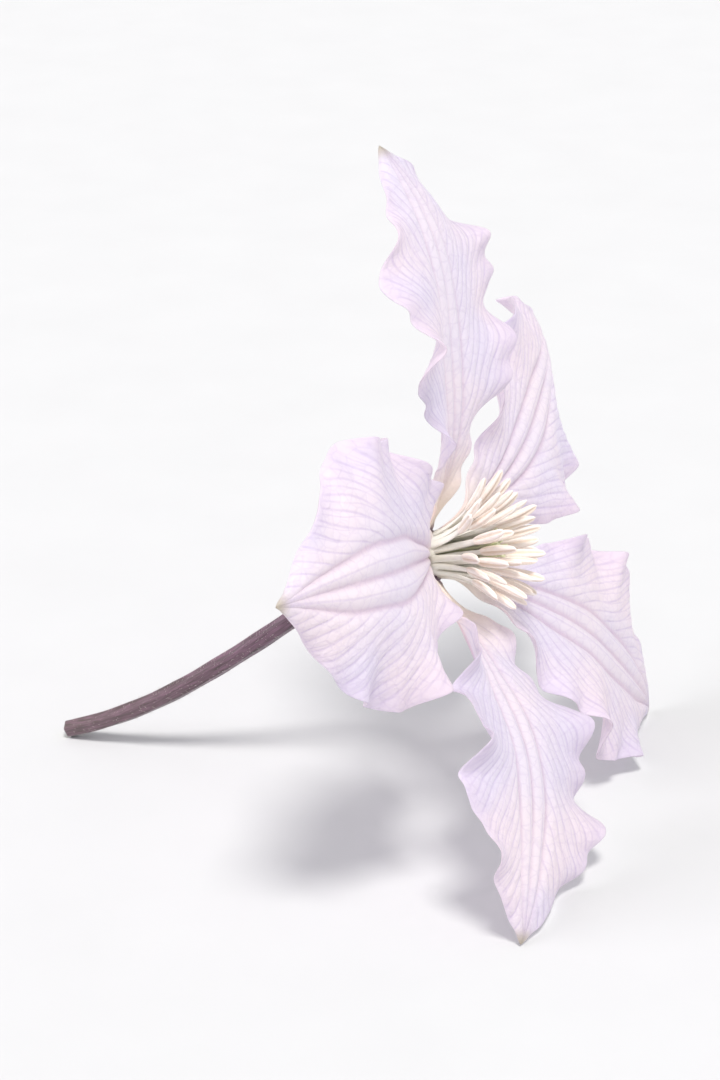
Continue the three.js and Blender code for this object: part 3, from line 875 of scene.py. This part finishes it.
# %% [markdown]
# ## The stamens
#
# Thirty-eight stamens stand in three rings, the inner ones nearly upright and the outer ones
# splayed. Each has a flat greenish-cream filament and a long cream anther, which is two pairs of
# pollen sacs with a groove between them on either face. The anthers make up nearly half the length.
# Instances of one stamen would take less memory. Each is worked out on its own instead, so that no
# two lean, bend or twist alike.

# %% Material of the filaments
# Filaments are smooth and moist, and shine softly. They are faintly mottled over about 0.8 mm, and
# greener at the foot.
filament_tissue, tree = new_material("filament tissue")
stamen_mark = add_node(tree, "Attribute", {}, attribute_name="stamen").outputs["Vector"]
at_share = add_node(tree, "SeparateXYZ", {0: stamen_mark}).outputs[0]
place = add_node(tree, "TexCoord", {}).outputs["Object"]
mottle = add_node(tree, "TexNoise", {"Vector": place, "Scale": 1 / (0.833 * MM), "Detail": 3})
height_share = add_node(tree, "MapRange", {0: at_share, 1: 0.0, 2: 0.5})
tone = add_node(tree, "Mix", {0: height_share, 6: "#F6F3EA", 7: "#FEFBF8"}, data_type="RGBA")
mottle_share = add_node(tree, "MapRange", {0: mottle, 1: 0.4, 2: 0.7, 3: 0.0, 4: 0.3})
tone = add_node(tree, "Mix", {0: mottle_share, 6: tone, 7: "#E6E4D2"}, data_type="RGBA")
relief = add_node(tree, "Bump", {"Height": mottle, "Strength": 0.4, "Distance": 0.05 * MM})
skin = add_node(tree, "BsdfPrincipled", {
    "Base Color": tone, "Roughness": 0.42, "IOR": 1.4, "Normal": relief})
through = add_node(tree, "BsdfTranslucent", {"Color": tone})
both = add_node(tree, "MixShader", {0: 0.22, 1: skin, 2: through})
add_node(tree, "OutputMaterial", {"Surface": both})
print("filament nodes:", len(tree.nodes))

# %% Material of the anthers
# Ripe anthers are matt with pollen, and paler in some patches of about 1 mm. Its grains are about
# 0.03 mm, and are drawn here at 0.11 mm, so that they show.
anther_tissue, tree = new_material("anther tissue with pollen")
stamen_mark = add_node(tree, "Attribute", {}, attribute_name="stamen").outputs["Vector"]
_, groove_shade_share, tint_share = add_node(tree, "SeparateXYZ", {0: stamen_mark}).outputs
place = add_node(tree, "TexCoord", {}).outputs["Object"]
grains = add_node(tree, "TexVoronoi", {"Vector": place, "Scale": 1 / (0.111 * MM)})
patches = add_node(tree, "TexNoise", {"Vector": place, "Scale": 1 / (1.11 * MM), "Detail": 3})
patch_share = add_node(tree, "MapRange", {0: patches, 1: 0.35, 2: 0.65})
tone = add_node(tree, "Mix", {0: patch_share, 6: "#FBEEE6", 7: "#FFFAF7"}, data_type="RGBA")
ripe_share = add_node(tree, "MapRange", {0: tint_share, 3: 0.0, 4: 0.55})
tone = add_node(tree, "Mix", {0: ripe_share, 6: tone, 7: "#FFF3EA"}, data_type="RGBA")
# Painted shade: the groove and the seam between the pollen sacs get a darker tan, as if shaded.
tone = add_node(tree, "Mix", {0: groove_shade_share, 6: tone, 7: "#DEC8B2"}, data_type="RGBA")
relief = add_node(tree, "Bump", {"Height": grains, "Strength": 0.5, "Distance": 0.06 * MM})
skin = add_node(tree, "BsdfPrincipled", {
    "Base Color": tone, "Roughness": 0.75, "IOR": 1.45, "Normal": relief})
add_node(tree, "OutputMaterial", {"Surface": skin})
print("anther nodes:", len(tree.nodes))

# %% The shape of a stamen
# The receptacle's top, and the small gap that the solids keep between it and what stands on it.
TOP_HEIGHT = 0.6
GAP = 0.3
BED = TOP_HEIGHT + GAP
FILAMENT_FOOT = BED - 0.12
STAMEN_COLUMNS = 28
ANTHER_FROM = 0.55
STAMEN_ROWS = np.concatenate([
    np.linspace(0, 0.5, 9), np.linspace(0.52, 0.9, 19), [0.93, 0.955, 0.975, 0.99, 1.0]])
# The width of the groove and of the seam between the pollen sacs in millimetres, and their depth as
# a share of the anther's half depth or half width.
GROOVE = 0.15
GROOVE_DEPTH = 0.5
SEAM = 0.09
SEAM_DEPTH = 0.16
# How strongly painted shade darkens them, as shares: their colour is made darker where they sink in.
GROOVE_SHADE = 0.75
SEAM_SHADE = 0.45
# The pollen sacs begin and end softly, over these shares of the stamen's length.
LOBES_BEGIN = 0.05
LOBES_END = 0.03
# Half width and half depth of a stamen at shares of its length, in millimetres.
STAMEN_AT = [0, 0.1, 0.3, 0.5, 0.54, 0.58, 0.66, 0.8, 0.92, 0.975, 1]
STAMEN_HALF_WIDTH = [0.5, 0.42, 0.4, 0.33, 0.3, 0.5, 0.62, 0.64, 0.54, 0.36, 0.05]
STAMEN_HALF_DEPTH = [0.36, 0.25, 0.17, 0.15, 0.16, 0.33, 0.43, 0.45, 0.38, 0.26, 0.05]


def make_stamen(azimuth, foot, lean, splay, length, bend, twist, tint):
    """A flat filament and its anther, as one run of sections, with marks for the materials."""
    at = STAMEN_ROWS
    centres, aside, across = stalk_line(azimuth, foot, FILAMENT_FOOT, lean, splay, length, at)
    # The sideways bend grows along the stamen and eases off at its tip.
    centres = centres + aside * (bend * at ** 1.5 * np.sin(2.6 * at))[:, None]
    turn = (twist * at)[:, None]
    sides = aside * np.cos(turn) + across * np.sin(turn)
    ups = across * np.cos(turn) - aside * np.sin(turn)
    angle = 2 * np.pi * (np.arange(STAMEN_COLUMNS) + 0.5) / STAMEN_COLUMNS
    x = np.interp(at, STAMEN_AT, STAMEN_HALF_WIDTH)[:, None] * np.cos(angle)
    y = np.interp(at, STAMEN_AT, STAMEN_HALF_DEPTH)[:, None] * np.sin(angle)
    lobed = np.clip((at - ANTHER_FROM) / LOBES_BEGIN, 0, 1) * np.clip((1 - at) / LOBES_END, 0, 1)
    groove = lobed[:, None] * np.exp(-((x / GROOVE) ** 2))
    seam = lobed[:, None] * np.exp(-((y / SEAM) ** 2))
    points, faces = sweep(
        centres, sides, ups, x * (1 - SEAM_DEPTH * seam), y * (1 - GROOVE_DEPTH * groove))
    # The groove and the seam get painted shade: the anther's colour is darkened in these hollows.
    painted_shade = np.maximum(GROOVE_SHADE * groove, SEAM_SHADE * seam)
    marks = np.stack([at[:, None] + 0 * x, painted_shade, tint + 0 * x], -1)
    return points, faces, marks.reshape(-1, 3)


print("the anther is", round(100 * (1 - ANTHER_FROM)), "% of a stamen's length")

# %% Make the stamens
# lean and splay are a stamen's angles from the axis at its foot and at its tip, in degrees.
STAMEN_RINGS = [
    dict(count=10, foot=1.75, lean=2, splay=20, length=11.4),
    dict(count=13, foot=2.15, lean=8, splay=34, length=11),
    dict(count=15, foot=2.5, lean=14, splay=50, length=10.2),
]
# How much the stamens differ: in place as a share of their spacing, in splay in degrees, in length
# as a share, sideways bend in millimetres, twist in radians, and tint.
PLACE_SCATTER = 0.6
SPLAY_SCATTER = 14
LENGTH_SCATTER = 0.14
BEND_TWIST_TINT_LOW = (-0.45, -0.6, 0)
BEND_TWIST_TINT_HIGH = (0.45, 0.6, 1)
# The solids' stamens start this many millimetres above BED.
FOOT_HEIGHT = 0.2
# The bed is a ring with an oval section, raised a little, and with small scars round its upper side.
BED_RADIUS = 2.05
BED_HALF_WIDTH = 0.72
BED_HALF_HEIGHT = 0.62
BED_RAISED = 0.05
BED_SCARS = 19
SCAR_HEIGHT = 0.05
BED_ROWS = 24
BED_COLUMNS = 96

parts = []
for ring in STAMEN_RINGS:
    for i in range(ring["count"]):
        azimuth = 2 * math.pi * (i + PLACE_SCATTER * (next(shares) - 0.5)) / ring["count"] + ring["foot"]
        splay = ring["splay"] + SPLAY_SCATTER * (next(shares) - 0.5)
        # The filaments start a little lower than the solids' stamens, inside the bed.
        length = (ring["length"] * (1 + LENGTH_SCATTER * (next(shares) - 0.5))
                  + BED + FOOT_HEIGHT - FILAMENT_FOOT)
        parts.append(make_stamen(azimuth, ring["foot"], ring["lean"], splay, length,
                                 *scatter.uniform(BEND_TWIST_TINT_LOW, BEND_TWIST_TINT_HIGH)))

# The stamens grow from the bed, which lies round the pistils.
around = circle(BED_COLUMNS)
section = circle(BED_ROWS)[:, None]
scars = SCAR_HEIGHT * np.sin(BED_SCARS * around) * np.maximum(np.sin(section), 0)
radius = BED_RADIUS + BED_HALF_WIDTH * np.cos(section) + scars
height = BED + BED_RAISED + BED_HALF_HEIGHT * np.sin(section) + 0 * radius
bed = np.stack([radius * np.cos(around), radius * np.sin(around), height], -1).reshape(-1, 3)
# Its last row meets the first.
bed_faces = grid_faces(BED_ROWS + 1, BED_COLUMNS, ring=True) % len(bed)
parts.append((bed, bed_faces.tolist(), np.zeros_like(bed)))

points, faces, marks, owners = gather(parts)
row = (np.arange(len(faces)) - np.searchsorted(owners, owners)) // STAMEN_COLUMNS
is_anther = (row >= np.argmax(STAMEN_ROWS >= ANTHER_FROM)) & (owners < len(parts) - 1)
# The first of the two closing faces is the filament's foot.
foot_faces = np.searchsorted(owners, np.arange(len(parts) - 1), side="right") - 2
is_anther[foot_faces] = False
new_piece("stamens_tuft", on_table(points), faces, "stamens",
          [filament_tissue, anther_tissue], is_anther, {"stamen": marks})
print("stamens:", len(parts) - 1)

# %% [markdown]
# ## The pistils
#
# Inside the stamens stands a tight tuft of styles. Each is a thin greenish-cream thread, clothed
# with long silky hairs and bare and slightly hooked at its tip. They stand in a spiral, turned by
# the golden angle from one to the next, as parts at a growing point do. Places drawn at random
# would be quicker to write, but would leave gaps and clumps that a living tuft doesn't have.

# %% Material of the styles
# Styles are tender and moist, so that light shines into them, mottled green over about 1.4 mm.
style_tissue, tree = new_material("style tissue")
place = add_node(tree, "TexCoord", {}).outputs["Object"]
mottle = add_node(tree, "TexNoise", {"Vector": place, "Scale": 1 / (1.43 * MM), "Detail": 3})
tone = add_node(tree, "Mix", {0: mottle, 6: "#E0E5B8", 7: "#F5F6DF"}, data_type="RGBA")
relief = add_node(tree, "Bump", {"Height": mottle, "Strength": 0.3, "Distance": 0.05 * MM})
skin = add_node(tree, "BsdfPrincipled", {
    "Base Color": tone, "Roughness": 0.38, "IOR": 1.42, "Sheen Weight": 0.3, "Normal": relief})
through = add_node(tree, "BsdfTranslucent", {"Color": tone})
both = add_node(tree, "MixShader", {0: 0.3, 1: skin, 2: through})
add_node(tree, "OutputMaterial", {"Surface": both})
print("style nodes:", len(tree.nodes))

# %% The shape of a style
STYLE_COUNT = 19
STYLE_LENGTH = 7.4
STYLE_SPLAY = 18
DOME_RADIUS = 1.15
DOME_HEIGHT = 1
STYLE_LENGTH_SCATTER = 0.12
GOLDEN_ANGLE = math.pi * (3 - math.sqrt(5))
STYLE_HAIRS = 44
STYLE_HAIR_THICKNESS = 0.045
STYLE_HAIR_LENGTHS = (0.9, 1.6)
# The hairs are rooted just inside the skin, this far from the middle line. How far they lean out from
# the style, and how far their tips are bent, in or out.
STYLE_HAIR_ROOT = 0.15
STYLE_HAIR_LEAN = 0.32
STYLE_HAIR_BEND = 0.16
STYLE_COLUMNS = 10
# The styles stand over this share of the dome, and start inside it at this share of its height.
DOME_COVERED = 0.8
DOME_SUNK = 0.4
# The hook begins at this share of a style's length, and draws its tip aside by so many millimetres,
# outwards to within this many radians.
HOOK_FROM = 0.78
HOOK_LEAST = 0.1
HOOK_MOST = 0.5
HOOK_TURN = 1.2
STYLE_ROWS = np.concatenate([np.linspace(0, 0.84, 12), np.linspace(0.87, 1, 8)])
STYLE_RADIUS = np.interp(STYLE_ROWS, [0, 0.3, 0.8, 0.94, 0.985, 1], [0.24, 0.2, 0.16, 0.19, 0.14, 0.03])


def make_style(number):
    """One style with its hairs."""
    share = math.sqrt((number + 0.5) / STYLE_COUNT)
    length = STYLE_LENGTH * (1 + STYLE_LENGTH_SCATTER * (next(shares) - 0.5))
    line, aside, across = stalk_line(
        number * GOLDEN_ANGLE, DOME_COVERED * DOME_RADIUS * share, BED + DOME_SUNK * DOME_HEIGHT,
        0, STYLE_SPLAY * share, length, STYLE_ROWS)
    hooked = np.clip((STYLE_ROWS - HOOK_FROM) / (1 - HOOK_FROM), 0, 1)[:, None]
    hook = scatter.uniform(HOOK_LEAST, HOOK_MOST) * hooked ** 2
    hook_turn = scatter.uniform(-HOOK_TURN, HOOK_TURN)
    line = line + hook * (math.cos(hook_turn) * across + math.sin(hook_turn) * aside)
    angle = circle(STYLE_COLUMNS)
    radius = STYLE_RADIUS[:, None]
    points, faces = sweep(line, aside, across, radius * np.cos(angle), radius * np.sin(angle))
    place = scatter.uniform(0.06, HOOK_FROM, STYLE_HAIRS)
    turn = scatter.uniform(0, 2 * np.pi, STYLE_HAIRS)[:, None]
    outward = np.cos(turn) * aside[0] + np.sin(turn) * across[0]
    root = np.stack([np.interp(place, STYLE_ROWS, column) for column in line.T], -1)
    root = root + STYLE_HAIR_ROOT * outward
    along = unit(line[-5] - line[0])
    bends = STYLE_HAIR_BEND * outward * scatter.uniform(-1, 1, (STYLE_HAIRS, 1))
    silk = hairs(root, unit(along + STYLE_HAIR_LEAN * outward), bends,
                 scatter.uniform(*STYLE_HAIR_LENGTHS, STYLE_HAIRS), STYLE_HAIR_THICKNESS)
    return [(points, faces, np.zeros_like(points)), silk]


print("a style is", 2 * STYLE_RADIUS[0], "mm thick at its foot and", 2 * STYLE_RADIUS[-1], "mm at its tip")

# %% Make the pistils
DOME_ROWS = 12
DOME_COLUMNS = 48
# The dome starts this far down inside the bed of the stamens, and rises this much.
DOME_FOOT = 0.3
DOME_RISE = 1.35

parts = [part for number in range(STYLE_COUNT) for part in make_style(number)]

# The dome that carries them is a little wider than the tuft.
rise = np.linspace(0, np.pi / 2 - 0.05, DOME_ROWS)[:, None]
dome, dome_faces = turned(DOME_RADIUS * np.cos(rise) * np.ones(DOME_COLUMNS),
                          BED - DOME_FOOT + DOME_RISE * np.sin(rise))
parts.append((dome, dome_faces, np.zeros_like(dome)))
points, faces, _, owners = gather(parts)
# Styles and hairs take turns in the list, so that the odd parts are hairs, and the dome is even.
new_piece("pistils_tuft", on_table(points), faces, "pistils", [style_tissue, down],
          owners % 2, {})
print("styles:", STYLE_COUNT, "with", STYLE_COUNT * STYLE_HAIRS, "hairs")

# %% [markdown]
# ## The pedicel and its receptacle
#
# The pedicel is a thin ridged stalk, dark purple-brown, that bends just behind the flower. Its top
# swells into the receptacle, and the five tepals are set round its rim. The lower end was cut, and
# shows its pale pith in a dark skin.
#
# It grew as one piece, so the swept stalk and the turned receptacle share one mesh and one skin. A
# Screw modifier could turn the receptacle as well, but would leave its neck straight. Here the neck
# follows the bend of the stalk.

# %% Material of the stalk's skin
# The skin is waxy, with a dull gloss along its ridges. Streaks of pigment run along it, about 0.3 mm
# wide and 2 mm long, and it is a little greener lower down.
stalk_skin, tree = new_material("ridged stalk skin")
grain = add_node(tree, "Attribute", {}, attribute_name="grain").outputs["Vector"]
lowered = add_node(tree, "SeparateXYZ", {0: grain}).outputs[2]
stretched = add_node(tree, "Mapping", {"Vector": grain, "Scale": (1 / 0.286, 1 / 2, 1)})
streaks = add_node(tree, "TexNoise", {"Vector": stretched, "Scale": 1, "Detail": 5})
streak_share = add_node(tree, "MapRange", {0: streaks, 1: 0.35, 2: 0.68})
tone = add_node(tree, "Mix", {0: streak_share, 6: "#3F2839", 7: "#725068"}, data_type="RGBA")
green_share = add_node(tree, "MapRange", {0: lowered, 3: 0.0, 4: 0.16})
tone = add_node(tree, "Mix", {0: green_share, 6: tone, 7: "#7C7A52"}, data_type="RGBA")
relief = add_node(tree, "Bump", {"Height": streaks, "Strength": 0.5, "Distance": 0.1 * MM})
skin = add_node(tree, "BsdfPrincipled", {
    "Base Color": tone, "Roughness": 0.46, "IOR": 1.45, "Sheen Weight": 0.3, "Normal": relief})
add_node(tree, "OutputMaterial", {"Surface": skin})
print("stalk skin nodes:", len(tree.nodes))

# %% Material of the cut end
# Pith is a froth of clear cells, about 0.1 mm wide, and glistens where it was cut.
pith, tree = new_material("cut pith")
grain = add_node(tree, "Attribute", {}, attribute_name="grain").outputs["Vector"]
cells = add_node(tree, "TexVoronoi", {"Vector": grain, "Scale": 1 / 0.111})
tone = add_node(tree, "Mix", {0: cells, 6: "#D2D2A4", 7: "#8F8C5C"}, data_type="RGBA")
relief = add_node(tree, "Bump", {"Height": cells, "Strength": 0.5, "Distance": 0.08 * MM})
wet = add_node(tree, "BsdfPrincipled", {
    "Base Color": tone, "Roughness": 0.35, "IOR": 1.38, "Normal": relief})
add_node(tree, "OutputMaterial", {"Surface": wet})
print("pith nodes:", len(tree.nodes))

# %% The line of the pedicel
# Where the middle of the cut end is, over the table, and how steeply the stalk comes down to it.
PEDICEL_END = np.array([-2.2, 35.7, 0.99])
PEDICEL_ARRIVAL = math.radians(20)
# The line is one Bezier curve, from the neck of the receptacle to the cut end. Its two handles are
# this long.
CROOK_LENGTH = 11
ARRIVAL_LENGTH = 21
NECK_LENGTH = 6
PEDICEL_ROWS = 260

handles = np.array([
    on_table([0, 0, -NECK_LENGTH / 2]),
    on_table([0, 0, -NECK_LENGTH / 2 - CROOK_LENGTH]),
    PEDICEL_END + ARRIVAL_LENGTH * np.array([0, -math.cos(PEDICEL_ARRIVAL), math.sin(PEDICEL_ARRIVAL)]),
    PEDICEL_END,
])
t = np.linspace(0, 1, PEDICEL_ROWS)[:, None]
line = sum(weight * handle for weight, handle in zip(
    ((1 - t) ** 3, 3 * t * (1 - t) ** 2, 3 * t ** 2 * (1 - t), t ** 3), handles))
tangents = unit(np.gradient(line, axis=0))
# The frame of each section turns as little as it can from the one before it.
sides = [unit(np.cross(tangents[0], [1.0, 0, 0]))]
for tangent in tangents[1:]:
    sides.append(unit(sides[-1] - tangent * (sides[-1] @ tangent)))
sides = np.array(sides)
ups = np.cross(tangents, sides)
reached = np.concatenate([[0], np.cumsum(np.linalg.norm(np.diff(line, axis=0), axis=1))])[:, None]
print("pedicel length in mm:", round(float(reached[-1, 0]) + NECK_LENGTH / 2, 1))

# %% The stalk
PEDICEL_RADIUS = 1.05
PEDICEL_RIDGES = 6
PEDICEL_RIDGE = 0.12
STALK_COLUMNS = 60
# The ridges stand on a slightly thinner stalk.
STALK_THINNED = 0.03
# They wind round it very slowly: their wave shifts by this many of its own radians in a millimetre.
RIDGE_WINDING = 0.02

around = circle(STALK_COLUMNS)
ridges = 0.5 + 0.5 * np.cos(PEDICEL_RIDGES * around + RIDGE_WINDING * reached)
# Low swellings and hollows, which together reach 0.045 mm, keep it from looking drawn.
knots = 0.025 * np.sin(0.9 * reached + 2 * around) + 0.02 * np.sin(0.37 * reached + around)
radius = PEDICEL_RADIUS - STALK_THINNED + PEDICEL_RIDGE * ridges ** 1.5 + knots
stalk_points, stalk_faces = sweep(line, sides, ups, radius * np.cos(around), radius * np.sin(around))
stalk_grain = np.stack([2 * np.cos(around) + 0 * reached, reached + 0 * around,
                        reached / reached[-1] + 0 * around], -1).reshape(-1, 3)
print("stalk thickness in mm:", round(2 * float(radius.min()), 2), "to", round(2 * float(radius.max()), 2))

# %% The receptacle
HEAD_ROWS = 60
HEAD_COLUMNS = 120
ROUNDINGS = 12
FLUTES = 30
FLUTE_SHARE = 0.03
RIM_RADIUS = 3
# Each tepal's foot sits on a swelling of this height in millimetres and half width in radians.
SWELLING = 0.36
SWELLING_WIDTH = 0.46

# The receptacle's profile is rounded by averaging each point with its neighbours.
profile = np.array([[0.9 * PEDICEL_RADIUS, -NECK_LENGTH], [1.2 * PEDICEL_RADIUS, -0.6 * NECK_LENGTH],
                    [0.62 * RIM_RADIUS, -0.36 * NECK_LENGTH], [0.92 * RIM_RADIUS, -0.2 * NECK_LENGTH],
                    [RIM_RADIUS, 0], [0.97 * RIM_RADIUS, 0.6 * TOP_HEIGHT], [0.86 * RIM_RADIUS, TOP_HEIGHT],
                    [0.5 * RIM_RADIUS, TOP_HEIGHT + 0.1], [0.02, TOP_HEIGHT + 0.12]])
steps = np.linspace(0, len(profile) - 1, HEAD_ROWS)
profile = np.stack([np.interp(steps, np.arange(len(profile)), column) for column in profile.T], -1)
for _ in range(ROUNDINGS):
    profile[1:-1] = (profile[:-2] + 2 * profile[1:-1] + profile[2:]) / 4

# It is lightly fluted, with a small swelling round the foot of each tepal.
around = circle(HEAD_COLUMNS)
apart = [(around - math.radians(tepal["azimuth"]) + np.pi) % (2 * np.pi) - np.pi for tepal in TEPALS]
swelling = sum(np.exp(-(angle / SWELLING_WIDTH) ** 4) for angle in apart)
radius, height = profile[:, :1], profile[:, 1:]
bulge = SWELLING * swelling * np.exp(-(((height - 0.05) / 0.9) ** 2))
bulge = bulge * np.clip(radius / RIM_RADIUS, 0, 1) ** 4
radius = radius * (1 + FLUTE_SHARE * np.cos(FLUTES * around) * np.clip(-height / 2, 0, 1)) + bulge
head, head_faces = turned(radius, height)
# The lower half of the neck follows the bend of the stalk, so that the two run into each other.
straight = np.minimum(profile[:, 1], -NECK_LENGTH / 2)
bent = np.stack([np.interp(-straight - NECK_LENGTH / 2, reached[:, 0], column) for column in line.T], -1)
aside = bent - on_table(straight[:, None] * [0, 0, 1])
head = on_table(head) + np.repeat(aside, HEAD_COLUMNS, axis=0)
head_grain = np.stack([3 * np.cos(around) + 0 * radius, height + 0 * around, 0 * radius], -1).reshape(-1, 3)
print("receptacle width in mm:", round(2 * float(radius.max()), 2))

# %% Make the pedicel
PEDICEL_HAIRS = 1500
PEDICEL_HAIR_THICKNESS = 0.03
PEDICEL_HAIR_LENGTHS = (0.3, 0.6)
# How far along the stalk the hairs reach, as a share. Then how far they lean towards the flower, how
# unevenly they lie, and how far their tips are bent.
FUZZ_REACH = 0.98
FUZZ_LEAN = 0.9
FUZZ_UNEVEN = 0.2
FUZZ_BEND = 0.12
# Hairs that would end lower than this many millimetres over the table are left out, because none
# grows where the stalk lies on it.
FUZZ_LOWEST = 0.35

# The hairs stand thickest near the flower.
row = (PEDICEL_ROWS * FUZZ_REACH * scatter.uniform(0, 1, PEDICEL_HAIRS) ** 1.6).astype(int)
turn = scatter.uniform(0, 2 * np.pi, PEDICEL_HAIRS)[:, None]
outward = np.cos(turn) * sides[row] + np.sin(turn) * ups[row]
root = line[row] + outward * PEDICEL_RADIUS
clear = root[:, 2] + 0.5 * outward[:, 2] > FUZZ_LOWEST
uneven = scatter.normal(0, FUZZ_UNEVEN, (PEDICEL_HAIRS, 3))
direction = unit(outward - FUZZ_LEAN * tangents[row] + uneven)
fuzz = hairs(root[clear], direction[clear], -FUZZ_BEND * tangents[row][clear],
             scatter.uniform(*PEDICEL_HAIR_LENGTHS, clear.sum()), PEDICEL_HAIR_THICKNESS)

points, faces, grain, owners = gather([
    (stalk_points, stalk_faces, stalk_grain),
    (head, head_faces, head_grain),
    fuzz,
])
kinds = np.where(owners == 2, 2, 0)
# The last face of the stalk is its cut end.
kinds[len(stalk_faces) - 1] = 1
new_piece("pedicel_stalk", points, faces, "pedicel", [stalk_skin, pith, down],
          kinds, {"grain": grain})
print("hairs:", int(clear.sum()))
